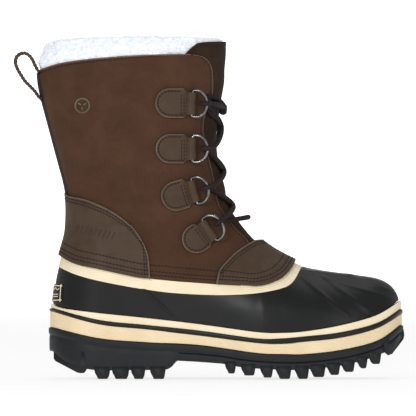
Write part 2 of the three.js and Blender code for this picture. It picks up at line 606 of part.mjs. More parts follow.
// ---------- ring tabs and rings ----------
function frameAt(x, z, tilt, side) {
  const step = 0.5;
  const origin = surfacePoint(x, z, side);
  const alongX = surfacePoint(x + step, z, side).sub(surfacePoint(x - step, z, side));
  const alongZ = surfacePoint(x, z + step, side).sub(surfacePoint(x, z - step, side));
  const out = new THREE.Vector3().crossVectors(alongX, alongZ).normalize();
  if (out.y * side < 0) out.negate();
  const angle = THREE.MathUtils.degToRad(tilt);
  const ahead = alongX.multiplyScalar(Math.cos(angle)).addScaledVector(alongZ, Math.sin(angle)).normalize();
  const up = new THREE.Vector3().crossVectors(out, ahead);
  if (up.z < 0) up.negate();
  const point = (b, a, n) => origin.clone().addScaledVector(ahead, b)
    .addScaledVector(up, a).addScaledVector(out, n);
  return { origin, ahead, up, out, point };
}

function ringGeometry({ point }) {
  const points = [];
  for (const a of [-8, 0, 8]) points.push(point(0, a, BAR_LIFT));
  points.push(point(0.9, RING_HALF - 1, BAR_LIFT + 0.3));
  const turns = 8;
  for (let i = 1; i < turns; i++) {
    const angle = (Math.PI * i) / turns;
    const b = RING_REACH * Math.sin(angle) ** 0.8;
    points.push(point(b, RING_HALF * Math.cos(angle), BAR_LIFT + (RING_LIFT * b) / RING_REACH));
  }
  points.push(point(0.9, 1 - RING_HALF, BAR_LIFT + 0.3));
  return new THREE.TubeGeometry(new THREE.CatmullRomCurve3(points, true), 24, WIRE / 2, 6, true);
}

// Side-view corner of a tab, in the tab's own directions
const tabCorner = ([x, z, tilt], b, a) => {
  const angle = THREE.MathUtils.degToRad(tilt);
  return [x + b * Math.cos(angle) - a * Math.sin(angle), z + b * Math.sin(angle) + a * Math.cos(angle)];
};

const EYE_HALF = 8;
const EYE_BORE = WIRE / 2 + 0.45;
function tabGeometry(k, frame, side) {
  const corner = (b, a) => tabCorner(RINGS[k], b, a);
  const rear = -TAB_LENGTH[k], front = -1.2;
  const plate = patchGrid({ bottom: straightEdge(corner(rear, -TAB_HALF), corner(front, -EYE_HALF)),
    top: straightEdge(corner(rear, TAB_HALF), corner(front, EYE_HALF)),
    left: straightEdge(corner(rear, -TAB_HALF), corner(rear, TAB_HALF)),
    right: straightEdge(corner(front, -EYE_HALF), corner(front, EYE_HALF)) }, { side, around: 4, up: 3 });
  const eye = (radius, half) => {
    const geometry = new THREE.CylinderGeometry(radius, radius, 2 * half, 12);
    const basis = new THREE.Matrix4().makeBasis(frame.ahead, frame.up,
      new THREE.Vector3().crossVectors(frame.ahead, frame.up));
    return geometry.applyMatrix4(basis.setPosition(frame.point(0, 0, BAR_LIFT)));
  };
  const body = join([sheet(plate, 3, 1.1), eye(EYE_BORE + 1.5, EYE_HALF)]);
  return cut(body, eye(EYE_BORE, EYE_HALF + 20));
}

const ringFrames = RINGS.map(([x, z, tilt]) => SIDES.map((side) => frameAt(x, z, tilt, side)));
ringFrames.forEach((pair, k) => pair.forEach((frame, s) => {
  const label = `${s === 0 ? 'lateral' : 'medial'}_${k + 1}`;
  place(`ring_tab_${label}`, tabGeometry(k, frame, SIDES[s]), 'smooth');
  place(`d_ring_${label}`, ringGeometry(frame), 'steel');
}));

// ---------- lace ----------
const LACE_PLAY = 2;          // lets a ring tilt a little without touching the lace
const LACE_TURN = WIRE / 2 + LACE_PLAY + LACE / 2;
const KNOT_Z = 240;
const tipLift = BAR_LIFT + RING_LIFT;
const under = (k, s) => ringFrames[k][s].point(RING_REACH + 1.2, 0, tipLift - LACE_TURN);
const inside = (k, s) => ringFrames[k][s].point(RING_REACH - LACE_TURN, 0.5, tipLift);
const over = (k, s) => ringFrames[k][s].point(RING_REACH + 1.5, 1, tipLift + LACE_TURN);
const crossing = (lower, high) => {
  const z = (RINGS[lower][1] + RINGS[lower - 1][1]) / 2 + (lower === 3 ? 6 : 0);
  const front = interpolate(frontTable.filter((p) => p.x < 60), 'y', 'x', z);
  return new THREE.Vector3(front + (high ? 6.5 : 2.2), 0, z);
};
const knotSide = (s) => new THREE.Vector3(14, SIDES[s] * 8.6, KNOT_Z);
const LATERAL = 0, MEDIAL = 1;
const barPoint = (y) => new THREE.Vector3(32.5, y, 142);
const route = [knotSide(LATERAL)];
[0, 1, 2, 3].forEach((k) => {
  const s = k % 2 === 0 ? LATERAL : MEDIAL;
  route.push(over(k, s), inside(k, s), under(k, s));
  if (k < 3) route.push(crossing(k + 1, k === 1));
});
route.push(barPoint(12), barPoint(-12));
[3, 2, 1, 0].forEach((k) => {
  const s = k % 2 === 0 ? MEDIAL : LATERAL;
  route.push(under(k, s), inside(k, s), over(k, s));
  if (k > 0) route.push(crossing(k, k !== 2));
});
route.push(knotSide(MEDIAL));
const lacePath = new THREE.CatmullRomCurve3(route, false, 'centripetal');
place('lace', tubeAlong(lacePath, LACE / 2, 120, 6), 'lace');
place('lace_knot', new THREE.SphereGeometry(1, 12, 8).scale(4.2, 8, 7.5).translate(14.3, 0, KNOT_Z), 'lace');

// ---------- pull loop and heel badge ----------
const LOOP_HALF = 8;
const LOOP_THICK = 2.4;
const LOOP = [[-153.9, 275.6], [-157, 283], [-161, 286.8], [-165, 287.5], [-169, 285.6], [-171.6, 281.8],
  [-170.8, 276], [-166.8, 268.8], [-162.8, 262.8], [-158, 257.9], [-154, 253.6], [-152.4, 251.2]];
function loopGeometry() {
  const line = curveAt(LOOP), steps = 22;
  const outer = [], inner = [];
  for (let i = 0; i <= steps; i++) {
    const p = line(i / steps);
    const q = line(Math.min(1, (i + 0.5) / steps)), r = line(Math.max(0, (i - 0.5) / steps));
    const across = new THREE.Vector2(q.y - r.y, r.x - q.x).normalize().multiplyScalar(LOOP_THICK / 2);
    outer.push([p.x + across.x, p.y + across.y]);
    inner.unshift([p.x - across.x, p.y - across.y]);
  }
  return sideExtrusion([...outer, ...inner], -LOOP_HALF, LOOP_HALF);
}
place('pull_loop', loopGeometry(), 'smooth');

const badgeBack = stretch(backTable, [-138, 67.5], [-136, 83]);
place('heel_badge', sheet(patchGrid({ bottom: straightEdge([-138.2, 67.5], [-130, 68]),
  top: straightEdge([-136, 83], [-129, 83]), left: badgeBack, right: straightEdge([-130, 68], [-129, 83]) },
{ wrapBack: true, around: 6, up: 2 }), 1.7, 0.6), 'cream');

// The origin is under the middle of the whole boot, on the ground.
const box = new THREE.Box3().setFromObject(boot);
const middle = box.getCenter(new THREE.Vector3());
boot.position.set(-middle.x, -middle.y, -box.min.z);

export default boot;
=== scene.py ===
"""Looks of the insulated pac boot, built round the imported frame. Design units are millimetres."""
import functools
import itertools
import math
import random

import bmesh
import bpy
import numpy as np
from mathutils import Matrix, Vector, noise


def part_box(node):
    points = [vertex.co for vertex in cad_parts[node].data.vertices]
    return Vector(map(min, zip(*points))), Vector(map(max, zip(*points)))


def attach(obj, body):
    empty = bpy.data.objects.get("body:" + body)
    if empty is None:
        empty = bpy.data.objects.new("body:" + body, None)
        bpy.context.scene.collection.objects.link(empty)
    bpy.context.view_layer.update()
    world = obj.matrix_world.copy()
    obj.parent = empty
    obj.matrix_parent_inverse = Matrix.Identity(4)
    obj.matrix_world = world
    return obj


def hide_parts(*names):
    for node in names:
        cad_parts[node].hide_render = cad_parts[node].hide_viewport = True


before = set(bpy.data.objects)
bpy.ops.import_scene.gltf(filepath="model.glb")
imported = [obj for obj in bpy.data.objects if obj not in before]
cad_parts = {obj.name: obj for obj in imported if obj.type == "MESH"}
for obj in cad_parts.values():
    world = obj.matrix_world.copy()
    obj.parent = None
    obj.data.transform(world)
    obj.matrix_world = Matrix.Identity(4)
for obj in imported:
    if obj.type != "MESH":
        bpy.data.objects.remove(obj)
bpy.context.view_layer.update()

# ---------------------------------------------------------------- frame
MM = 0.001
# The steel shank's lowest rear corner in the design's own millimetres places the design in the frame.
SHANK_REAR = -92.0
SHANK_SIDE = -8.0
_low, _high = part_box("steel_shank")
ORIGIN = np.array([_low[0] - SHANK_REAR * MM, _low[1] - SHANK_SIDE * MM, 0.0])

LATERAL, MEDIAL = -1, 1

# ---------------------------------------------------------------- driving dimensions
LEATHER = 1.7
OVERLAY = 1.6
RUBBER = 2.8
HEM_SWELL = 1.0
FELT_IN = -15.4
FELT_OUT = -6.4
WIRE = 2.4
LACE = 4.4
RING_HALF = 12.3
RING_REACH = 11.0
RING_LIFT = 7.4
BAR_LIFT = 4.3
TOE_START = 60.0
SHAFT_START = 150.0
SECTION_RADIUS = 72.0
HEEL_END = -138.4
TOE_END = 168.6

FRONT = [(168.6, 60), (168.2, 69), (165, 77), (158, 84.6), (147, 89.2), (126, 92.3), (105, 94.8),
         (88, 97.6), (75, 102), (62, 109.5), (48, 119), (37, 128.5), (27, 139.5), (19.5, 153), (15, 170),
         (11, 187), (8.6, 205), (9.5, 225), (12.5, 245), (15.5, 264), (17, 297), (17.2, 306)]
BACK = [(-136, 26), (-137.4, 48), (-138.3, 62), (-137.4, 73), (-135.2, 88), (-132, 102), (-128.5, 114),
        (-125.6, 129), (-124.6, 145), (-125.4, 163), (-127.6, 175), (-131, 187.6), (-139.6, 219.5),
        (-148.3, 253), (-150.6, 273), (-150.4, 306)]
FEATHER = [(-138.5, 66), (-128, 62.4), (-96.5, 58.4), (-54, 54), (-8, 48.7), (41.6, 42), (63, 41.2),
           (84, 42.5), (116, 47.8), (148, 56.6), (169, 69)]
SHELL_TOP = [(-132.6, 99), (-117.7, 92.5), (-96.5, 86.7), (-64.6, 80.5), (-32.7, 76.1), (-0.9, 74.3),
             (20.4, 74.3), (41.6, 75.7), (62.8, 79.7), (73.5, 85.4), (82.3, 98.9)]
LEATHER_EDGE = [(-130.5, 108), (-117.7, 101.3), (-96.5, 96.6), (-64.6, 89.8), (-32.7, 86.3), (-0.9, 83.6),
                (31, 81.9), (41.6, 81), (52.2, 82.7), (62.8, 87.2), (70, 93.5), (75.6, 101.7)]
COLLAR = [(-150.6, 272.4), (-128.1, 278.3), (-90.2, 282.5), (-52.2, 284.7), (-16.8, 285.4)]
EYESTAY = [(28, 82.2), (33, 100), (35.5, 119), (23, 132.8), (11.5, 148.7), (7.1, 159.3), (4.4, 175.2),
           (0, 194.7), (-4.4, 213.3), (-5, 222), (-3.5, 231.9), (2.7, 248.7), (3.3, 268), (1.2, 277),
           (-5, 283.2), (-16.8, 285.3)]
COUNTER_TOP = [(-125.4, 163.7), (-121.5, 160.7), (-107.2, 156.9), (-88, 149.2), (-73.5, 139.6),
               (-64, 129), (-57.3, 117.5)]
COUNTER_FRONT = [(-51.8, 88.3), (-53.4, 106), (-57.3, 117.5)]
TIP_REAR = [(8.9, 94.5), (13.7, 101), (23.4, 110.6), (37.3, 119.3), (46, 120.5)]
STRIPE_TOP = [(-138, 62), (-96.5, 51.8), (-54, 47.3), (-8, 42.5), (41.6, 35.8), (63, 35.8), (84, 37.6),
              (116, 41.2), (148, 49.1), (169, 61.1)]
WEDGE_TOP = [(-138, 59.3), (-96.5, 48.2), (-54, 43.8), (-8, 38.5), (41.6, 32.3), (63, 31.4), (84, 33.2),
             (116, 36.7), (148, 44.7), (169, 56.6)]
WEDGE_BOTTOM = [(-138, 45.2), (-96.5, 35.8), (-54, 32.3), (-8, 29.8), (41.6, 23), (63, 22.1), (84, 22.1),
                (116, 25.7), (148, 33.6), (169, 46.9)]
HALF_WIDTH = [(-138, 38), (-98, 38.5), (-54, 38.5), (-20, 40.5), (10, 46), (40, 52.5), (63, 54.5),
              (170, 54.5)]
SHAFT_HALF = [(60, 0), (140, 42), (165, 43.5), (200, 46), (240, 48.5), (285, 50), (310, 50)]
RINGS = [(-16.8, 242.9, 0), (-16.7, 202.7, 0), (-15, 165.2, 15.5), (-1.4, 130, 35)]
TAB_LENGTH = [30.4, 30.2, 27.6, 24.4]


# ---------------------------------------------------------------- curves in the side view
def catmull(points, count=400):
    """Evenly spaced points on the uniform Catmull-Rom curve through the given ones."""
    p = np.asarray(points, float)
    ext = np.vstack([p[0], p, p[-1]])
    spans = [catmull_span(*ext[i:i + 4], 40) for i in range(len(p) - 1)]
    return even(np.vstack(spans + [p[-1:]]), count)


def catmull_span(a, b, c, d, count):
    """Points from b towards c on the uniform Catmull-Rom curve through four points."""
    t = np.linspace(0, 1, count, endpoint=False)[:, None]
    v0, v1 = (c - a) / 2, (d - b) / 2
    return (2 * b - 2 * c + v0 + v1) * t ** 3 + (-3 * b + 3 * c - 2 * v0 - v1) * t ** 2 + v0 * t + b


def run_of(points):
    """Distance along a polyline at each of its points."""
    return np.concatenate([[0], np.cumsum(np.linalg.norm(np.diff(points, axis=0), axis=1))])


def read_at(at, run, columns):
    """Values of each column at distances along its run."""
    return np.stack([np.interp(at, run, column) for column in columns.T], -1)


def even(points, count):
    """The given number of evenly spaced points along a polyline."""
    run = run_of(points)
    return read_at(np.linspace(0, run[-1], count), run, points)


def unit(vectors):
    """Vectors scaled to length 1 along the last axis."""
    return vectors / np.maximum(1e-9, np.linalg.norm(vectors, axis=-1, keepdims=True))


class Edge:
    """A side-view line read at 0..1."""

    def __init__(self, points, straight=False):
        self.points = even(np.asarray(points, float), 200) if straight else catmull(points, 400)

    def __call__(self, t):
        return read_at(t, np.linspace(0, 1, len(self.points)), self.points)


def stretch(table, a, b, dx=0.0):
    """The piece of a table between the points nearest to a and b."""
    near = [int(np.argmin(np.hypot(table[:, 0] - p[0], table[:, 1] - p[1]))) for p in (a, b)]
    piece = table[near[0]:near[1] + 1] if near[0] <= near[1] else table[near[1]:near[0] + 1][::-1]
    return Edge(piece + np.array([dx, 0.0]), straight=True)


FRONT_LINE = catmull(FRONT, 1600)
BACK_LINE = catmull(BACK, 1000)


def table_of(points):
    line = catmull(points, 400)
    order = np.argsort(line[:, 0])
    return line[order, 0], line[order, 1]


FEATHER_T, STRIPE_T, WEDGE_T, WEDGE_B, HALF_T, SHAFT_T = (
    table_of(p) for p in (FEATHER, STRIPE_TOP, WEDGE_TOP, WEDGE_BOTTOM, HALF_WIDTH, SHAFT_HALF))


def height(table, x):
    return np.interp(x, *table)


def smooth(t):
    t = np.clip(t, 0, 1)
    return t * t * (3 - 2 * t)


_toe = FRONT_LINE[FRONT_LINE[:, 0] >= TOE_START - 1][::-1]
_shaft = FRONT_LINE[FRONT_LINE[:, 1] >= SHAFT_START - 1]
_fan = FRONT_LINE[(FRONT_LINE[:, 0] <= TOE_START + 2) & (FRONT_LINE[:, 1] <= SHAFT_START + 3)]
_fan_angle = np.arctan2(TOE_START - _fan[:, 0], SHAFT_START - _fan[:, 1])
_fan_radius = np.hypot(TOE_START - _fan[:, 0], SHAFT_START - _fan[:, 1])


def centre_at(x, z):
    """The plan's centre line: the toe leans to the medial side, the waist is hollowed on it."""
    toe = 7 * (np.maximum(0, (x - 20) / 148) ** 2) * (1 - smooth((z - 110) / 30))
    waist = -2.5 * np.exp(-((x + 25) / 45) ** 2) * (1 - smooth((z - 90) / 50))
    return toe + waist


def front_depth(x, z):
    top = np.interp(x, _toe[:, 0], _toe[:, 1])
    ahead = smooth((x - TOE_START) / 30)
    toe = (top - z) / (SECTION_RADIUS * (1 - ahead) + np.maximum(6, top - height(FEATHER_T, x) + 12) * ahead)
    shaft = (np.interp(z, _shaft[:, 1], _shaft[:, 0]) - x) / SECTION_RADIUS
    angle = np.arctan2(TOE_START - x, SHAFT_START - z)
    radius = np.hypot(TOE_START - x, SHAFT_START - z)
    fan = (radius - np.interp(angle, _fan_angle, _fan_radius)) / SECTION_RADIUS
    return np.where(x >= TOE_START, toe, np.where(z >= SHAFT_START, shaft, fan))


def rounded(depth, power=2.0):
    return np.sqrt(np.maximum(0, 1 - (1 - np.clip(depth, 0, 1)) ** power))


def half_width(x, z):
    upper = smooth((z - 60) / 80)
    plateau = height(HALF_T, x) * (1 - upper) + np.maximum(40, height(SHAFT_T, np.maximum(z, 120))) * upper
    ahead = np.maximum(0, (x - TOE_START) / (168.7 - TOE_START))
    toe = np.sqrt(np.maximum(0, 1 - ahead ** 2.6))
    back_round = 42 + 32 * smooth((z - 100) / 110)
    heel = rounded((x - np.interp(z, BACK_LINE[:, 1], BACK_LINE[:, 0])) / back_round)
    return plateau * toe * heel * rounded(front_depth(x, z), 2.3)


def surface(x, z, side):
    return np.stack([x, centre_at(x, z) + side * half_width(x, z), z + 0 * x], -1)


# ---------------------------------------------------------------- grids
def coons(edges, s, t):
    bottom, top, left, right = (edges[k] for k in ("bottom", "top", "left", "right"))
    s, t = s[None, :, None], t[:, None, None]
    bs, ts = bottom(s[0, :, 0])[None], top(s[0, :, 0])[None]
    lt, rt = left(t[:, 0, 0])[:, None], right(t[:, 0, 0])[:, None]
    corner = ((bottom(0.0) * (1 - s) + bottom(1.0) * s) * (1 - t) + (top(0.0) * (1 - s) + top(1.0) * s) * t)
    return bs * (1 - t) + ts * t + lt * (1 - s) + rt * s - corner


def spread(k, back, front):
    if back and front:
        return (1 - np.cos(np.pi * k)) / 2
    if front:
        return np.sin(np.pi / 2 * k)
    if back:
        return 1 - np.cos(np.pi / 2 * k)
    return k


class Patch:
    """A grid of points on the boot's surface, rows from low to high, columns round it.

    low, high, first and last list distances from those ends at which rows or columns are wanted.
    """

    def __init__(self, edges, back=False, front=False, side=LATERAL, around=80, up=60,
                 low=(), high=(), first=(), last=()):
        k = np.linspace(0, 1, 3 * around + 1)
        flat = coons(edges, spread(k, back, front), np.linspace(0, 1, 3 * up + 1))
        only = np.full((1, flat.shape[1]), side)
        flat = respace(flat, only, 1, first, last, around + 1)
        count = flat.shape[1]
        here, mirrored = np.full(count, LATERAL), np.full(count, MEDIAL)
        if back and front:
            flat = np.concatenate([flat, flat[:, -2:0:-1]], 1)
            sides = np.concatenate([here, mirrored[1:-1]])
        elif front:
            flat = np.concatenate([flat, flat[:, -2::-1]], 1)
            sides = np.concatenate([here, mirrored[1:]])
        elif back:
            flat = np.concatenate([flat[:, ::-1], flat[:, 1:]], 1)
            sides = np.concatenate([here, mirrored[1:]])
        else:
            sides = np.full(count, side)
        self.closed = back and front
        self.flat = respace(flat, sides[None], 0, low, high, up)
        self.points = surface(self.flat[..., 0], self.flat[..., 1], sides[None])
        self.normals = self._normals()
        self.up, self.across = self._distances()

    def _normals(self):
        p = self.points
        if self.closed:
            along = np.roll(p, -1, 1) - np.roll(p, 1, 1)
        else:
            along = np.gradient(p, axis=1)
        normal = unit(np.cross(along, np.gradient(p, axis=0)))
        high = p[..., 2] > 150
        heart = np.stack([np.where(high, -60, np.clip(p[..., 0], -70, 100)), 0 * p[..., 0],
                          np.where(high, p[..., 2], np.minimum(p[..., 2], 60))], -1)
        if np.sum(normal * (p - heart)) < 0:
            normal = -normal
        up = np.gradient(p, axis=0)
        level = unit(np.stack([up[..., 2], 0 * up[..., 0], -up[..., 0]], -1))
        level[np.sum(level * (p - heart), 2) < 0] *= -1
        on_centre = np.abs(p[..., 1] - centre_at(p[..., 0], p[..., 2])) < 0.4
        normal[on_centre] = level[on_centre]
        return normal

    def _distances(self):
        """Distances up each column and along each row."""
        up, across = (np.cumsum(np.linalg.norm(np.diff(self.points, axis=k), axis=2), k) for k in (0, 1))
        return np.pad(up, ((1, 0), (0, 0))), np.pad(across, ((0, 0), (1, 0)))

    def distance(self, end):
        return {"low": self.up, "high": self.up[-1:] - self.up,
                "first": self.across, "last": self.across[:, -1:] - self.across}[end]

    def border(self, *ends):
        """Distance to the nearest of the named ends."""
        return np.minimum.reduce([self.distance(end) for end in ends])

    def moved(self, offset):
        offset = np.asarray(offset, float)
        return self.points + self.normals * (offset[..., None] if offset.ndim else offset)

    def line(self, end, distance, offset):
        """A polyline at a distance from one end, with its normals."""
        run, shifted = self.distance(end), self.moved(offset)
        across = end in ("first", "last")
        points, normals = [], []
        for i in range(shifted.shape[0 if across else 1]):
            pick = (i, slice(None)) if across else (slice(None), i)
            order = np.argsort(run[pick])
            r, p, n = run[pick][order], shifted[pick][order], self.normals[pick][order]
            points.append(read_at(distance, r, p))
            normals.append(read_at(distance, r, n))
        return np.array(points), np.array(normals)


def respace(flat, sides, axis, low, high, count):
    """Spaces a grid's points evenly on the surface, with extra ones at given distances from both ends."""
    moved = np.moveaxis(flat, axis, 0)
    solid = surface(flat[..., 0], flat[..., 1], np.broadcast_to(sides, flat.shape[:2]))
    solid = np.moveaxis(solid, axis, 0)
    run = np.cumsum(np.linalg.norm(np.diff(solid, axis=0), axis=2), 0)
    run = np.concatenate([np.zeros((1, run.shape[1])), run])
    low, high = np.array(low or [0.0]), np.array(high or [0.0])
    middle = np.linspace(0, 1, max(3, count - len(low) - len(high)) + 2)[1:-1]
    out = []
    for j in range(moved.shape[1]):
        total = run[-1, j]
        scale = min(1.0, 0.45 * total / max(low.max(), high.max(), 1e-6))
        near, far = low * scale, total - high[::-1] * scale
        at = np.concatenate([near, near[-1] + (far[0] - near[-1]) * middle, far])
        out.append(read_at(at, run[:, j], moved[:, j]))
    return np.moveaxis(np.stack(out, 1), 0, axis)


def edge_drop(distance, radius):
    """0 at a cut edge, 1 from radius inwards."""
    return np.sqrt(np.maximum(0, 1 - (1 - np.clip(distance / radius, 0, 1)) ** 2))


def cut(distance, radius):
    """1 at a cut edge, 0 from radius inwards."""
    return 1 - edge_drop(distance, radius)


def groove(distance, at, depth=0.35, width=0.6):
    """A pressed line at a distance from an edge."""
    return -depth * np.exp(-((distance - at) / width) ** 2)


# ---------------------------------------------------------------- meshes
def object_from(name, points, faces, material):
    mesh = bpy.data.meshes.new(name)
    placed = (np.asarray(points) * MM + ORIGIN).tolist()
    mesh.from_pydata(placed, [], [tuple(int(i) for i in f) for f in faces])
    mesh.validate()
    mesh.update()
    mesh.polygons.foreach_set("use_smooth", [True] * len(mesh.polygons))
    obj = bpy.data.objects.new(name, mesh)
    bpy.context.scene.collection.objects.link(obj)
    mesh.materials.append(material)
    weld(obj)
    return obj


def weld(obj):
    """Joins doubled points and turns the faces out."""
    bm = bmesh.new()
    bm.from_mesh(obj.data)
    bmesh.ops.remove_doubles(bm, verts=bm.verts, dist=2e-6)
    bmesh.ops.recalc_face_normals(bm, faces=bm.faces)
    bm.to_mesh(obj.data)
    bm.free()


def grid_faces(rows, columns, start, closed, flip=False):
    faces = []
    span = columns if closed else columns - 1
    for j in range(rows - 1):
        for i in range(span):
            a, b = start + j * columns + i, start + j * columns + (i + 1) % columns
            quad = (a, b, b + columns, a + columns)
            faces.append(quad[::-1] if flip else quad)
    return faces


def grid_solid(outer, inner, closed=False):
    """A closed solid between two grids; a closed one has no side walls."""
    m, n = outer.shape[:2]
    points = np.concatenate([outer.reshape(-1, 3), inner.reshape(-1, 3)])
    faces = grid_faces(m, n, 0, closed) + grid_faces(m, n, m * n, closed, True)
    walls = [(j * n + i, j * n + (i + 1) % n) for j in (0, m - 1) for i in range(n if closed else n - 1)]
    if not closed:
        walls += [(j * n + i, (j + 1) * n + i) for i in (0, n - 1) for j in range(m - 1)]
    return points, faces + [(a, b, b + m * n, a + m * n) for a, b in walls]


def add_piece(name, solid, material, body="root", replaces=()):
    """One visible piece from a solid's points and faces."""
    obj = object_from(name, *solid, material)
    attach(obj, body)
    if replaces:
        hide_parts(*replaces)
    return obj


def sheet(name, patch, outer, inner, material, body="root", replaces=()):
    """A thin closed solid between two offsets of a patch."""
    solid = grid_solid(patch.moved(outer), patch.moved(inner), patch.closed)
    return add_piece(name, solid, material, body, replaces)


def tube(points, radius, sides=16, closed=False, relief=None):
    """Points and faces of a round tube; relief(angle, run) adds to the radius."""
    p = np.asarray(points, float)
    tangent = (np.roll(p, -1, 0) - np.roll(p, 1, 0)) if closed else np.gradient(p, axis=0)
    tangent = unit(tangent)
    normal = np.zeros_like(p)
    start = np.cross(tangent[0], [0.13, 0.27, 0.95])
    normal[0] = start / np.linalg.norm(start)
    for i in range(1, len(p)):
        n = normal[i - 1] - tangent[i] * np.dot(normal[i - 1], tangent[i])
        normal[i] = n / np.linalg.norm(n)
    other = np.cross(tangent, normal)
    angle = np.linspace(0, 2 * np.pi, sides, endpoint=False)
    run = run_of(p)
    r = np.broadcast_to(np.asarray(radius, float).reshape(-1, 1), (len(p), 1)) * np.ones((1, sides))
    if relief is not None:
        r = r + relief(angle[None, :], run[:, None])
    ring = (normal[:, None] * np.cos(angle)[None, :, None] + other[:, None] * np.sin(angle)[None, :, None])
    verts = (p[:, None] + ring * r[..., None]).reshape(-1, 3)
    rows = len(p)
    faces = []
    for j in range(rows if closed else rows - 1):
        for i in range(sides):
            k = (i + 1) % sides
            a, b = j * sides, ((j + 1) % rows) * sides
            faces.append((a + i, a + k, b + k, b + i))
    if not closed:
        faces.append(tuple(range(sides))[::-1])
        faces.append(tuple(range((rows - 1) * sides, rows * sides)))
    return verts, faces


def merge(parts):
    points, faces, base = [], [], 0
    for p, f in parts:
        points.append(np.asarray(p))
        faces += [tuple(base + i for i in face) for face in f]
        base += len(p)
    return np.concatenate(points), faces


STITCH_PITCH, STITCH_LENGTH, STITCH_RADIUS = 3.1, 2.3, 0.52


def stitches(path, normals, start=0.0, end=None, lift=0.0):
    """Sunk thread stitches along a polyline: one small rounded bar each."""
    run = run_of(path)
    end = run[-1] if end is None else end
    parts = []
    count = int((end - start) / STITCH_PITCH)
    for i in range(count):
        a = start + (i + 0.5) * STITCH_PITCH
        at = a + np.array([-0.5, -0.36, 0, 0.36, 0.5]) * STITCH_LENGTH
        p = read_at(at, run, path)
        n = read_at(a, run, normals)
        n /= np.linalg.norm(n)
        sink = np.array([-0.45, -0.05, 0.12, -0.05, -0.45])[:, None] * STITCH_RADIUS
        parts.append(tube(p + n * (sink + lift), STITCH_RADIUS * np.array([0.5, 0.95, 1, 0.95, 0.5]), 6))
    return parts


# ---------------------------------------------------------------- materials
def srgb(*rgb):
    """Linear colour from 0..255 screen values."""
    c = np.array(rgb) / 255.0
    linear = np.where(c <= 0.04045, c / 12.92, ((c + 0.055) / 1.055) ** 2.4)
    return tuple(float(v) for v in linear) + (1.0,)


class Surface:
    """A principled material with object-space textures."""

    def __init__(self, name, roughness=0.6, specular=0.5, metallic=0.0):
        self.material = bpy.data.materials.new(name)
        self.material.use_nodes = True
        self.nodes = self.material.node_tree.nodes
        self.links = self.material.node_tree.links
        self.shader = self.nodes["Principled BSDF"]
        self.set(roughness=roughness, specular=specular, metallic=metallic)
        self.place = self.nodes.new("ShaderNodeTexCoord").outputs["Object"]
        self.height = None

    def set(self, roughness=None, specular=None, metallic=None):
        values = {"Roughness": roughness, "Specular IOR Level": specular, "Metallic": metallic}
        for key, value in values.items():
            if value is not None:
                self.shader.inputs[key].default_value = value

    def noise(self, size_mm, detail=4.0, rough=0.55, stretch_by=(1, 1, 1)):
        mapping = self.nodes.new("ShaderNodeMapping")
        mapping.inputs["Scale"].default_value = stretch_by
        self.links.new(self.place, mapping.inputs["Vector"])
        node = self.nodes.new("ShaderNodeTexNoise")
        node.inputs["Scale"].default_value = 1000.0 / size_mm
        node.inputs["Detail"].default_value = detail
        node.inputs["Roughness"].default_value = rough
        self.links.new(mapping.outputs[0], node.inputs["Vector"])
        return node.outputs[0]

    def cells(self, size_mm):
        node = self.nodes.new("ShaderNodeTexVoronoi")
        node.inputs["Scale"].default_value = 1000.0 / size_mm
        self.links.new(self.place, node.inputs["Vector"])
        return node.outputs["Distance"]

    def ramp(self, value, *stops):
        node = self.nodes.new("ShaderNodeValToRGB")
        while len(node.color_ramp.elements) < len(stops):
            node.color_ramp.elements.new(0.5)
        for element, (at, colour) in zip(node.color_ramp.elements, stops):
            element.position, element.color = at, colour
        self.links.new(value, node.inputs[0])
        return node.outputs[0]

    def blend(self, factor, a, b):
        node = self.nodes.new("ShaderNodeMix")
        node.data_type = "RGBA"
        if isinstance(factor, float):
            node.inputs["Factor"].default_value = factor
        else:
            self.links.new(factor, node.inputs["Factor"])
        for socket, value in ((node.inputs[6], a), (node.inputs[7], b)):
            if isinstance(value, tuple):
                socket.default_value = value
            else:
                self.links.new(value, socket)
        return node.outputs[2]

    def colour(self, value):
        if isinstance(value, tuple):
            self.shader.inputs["Base Color"].default_value = value
        else:
            self.links.new(value, self.shader.inputs["Base Color"])

    def rough_between(self, value, low, high):
        node = self.nodes.new("ShaderNodeMapRange")
        node.inputs["To Min"].default_value = low
        node.inputs["To Max"].default_value = high
        self.links.new(value, node.inputs["Value"])
        self.links.new(node.outputs[0], self.shader.inputs["Roughness"])

    def bump(self, value, depth_mm, strength=1.0):
        node = self.nodes.new("ShaderNodeBump")
        node.inputs["Distance"].default_value = depth_mm * MM
        node.inputs["Strength"].default_value = strength
        self.links.new(value, node.inputs["Height"])
        if self.height is not None:
            self.links.new(self.height, node.inputs["Normal"])
        self.height = node.outputs[0]
        self.links.new(self.height, self.shader.inputs["Normal"])


def nubuck_material(name, dark, mid, light):
    s = Surface(name, roughness=0.88, specular=0.22)
    cloud = s.ramp(s.noise(26, 5, 0.68), (0.33, dark), (0.5, mid), (0.67, light))
    fine = s.ramp(s.noise(2.2, 3, 0.7), (0.3, dark), (0.72, light))
    s.colour(s.blend(0.24, cloud, fine))
    s.shader.inputs["Sheen Weight"].default_value = 0.22
    s.shader.inputs["Sheen Roughness"].default_value = 0.5
    s.shader.inputs["Sheen Tint"].default_value = light
    s.bump(s.noise(0.8, 3, 0.75), 0.09)
    s.bump(s.noise(7, 3, 0.5), 0.16, 0.7)
    return s.material


def smooth_leather_material(name, base, light):
    s = Surface(name, roughness=0.52, specular=0.28)
    s.colour(s.ramp(s.noise(9, 4, 0.6), (0.3, base), (0.7, light)))
    s.rough_between(s.noise(2.0, 3, 0.6), 0.46, 0.64)
    s.bump(s.cells(0.75), 0.07, 0.8)
    s.bump(s.noise(4.0, 3, 0.5), 0.07, 0.6)
    return s.material


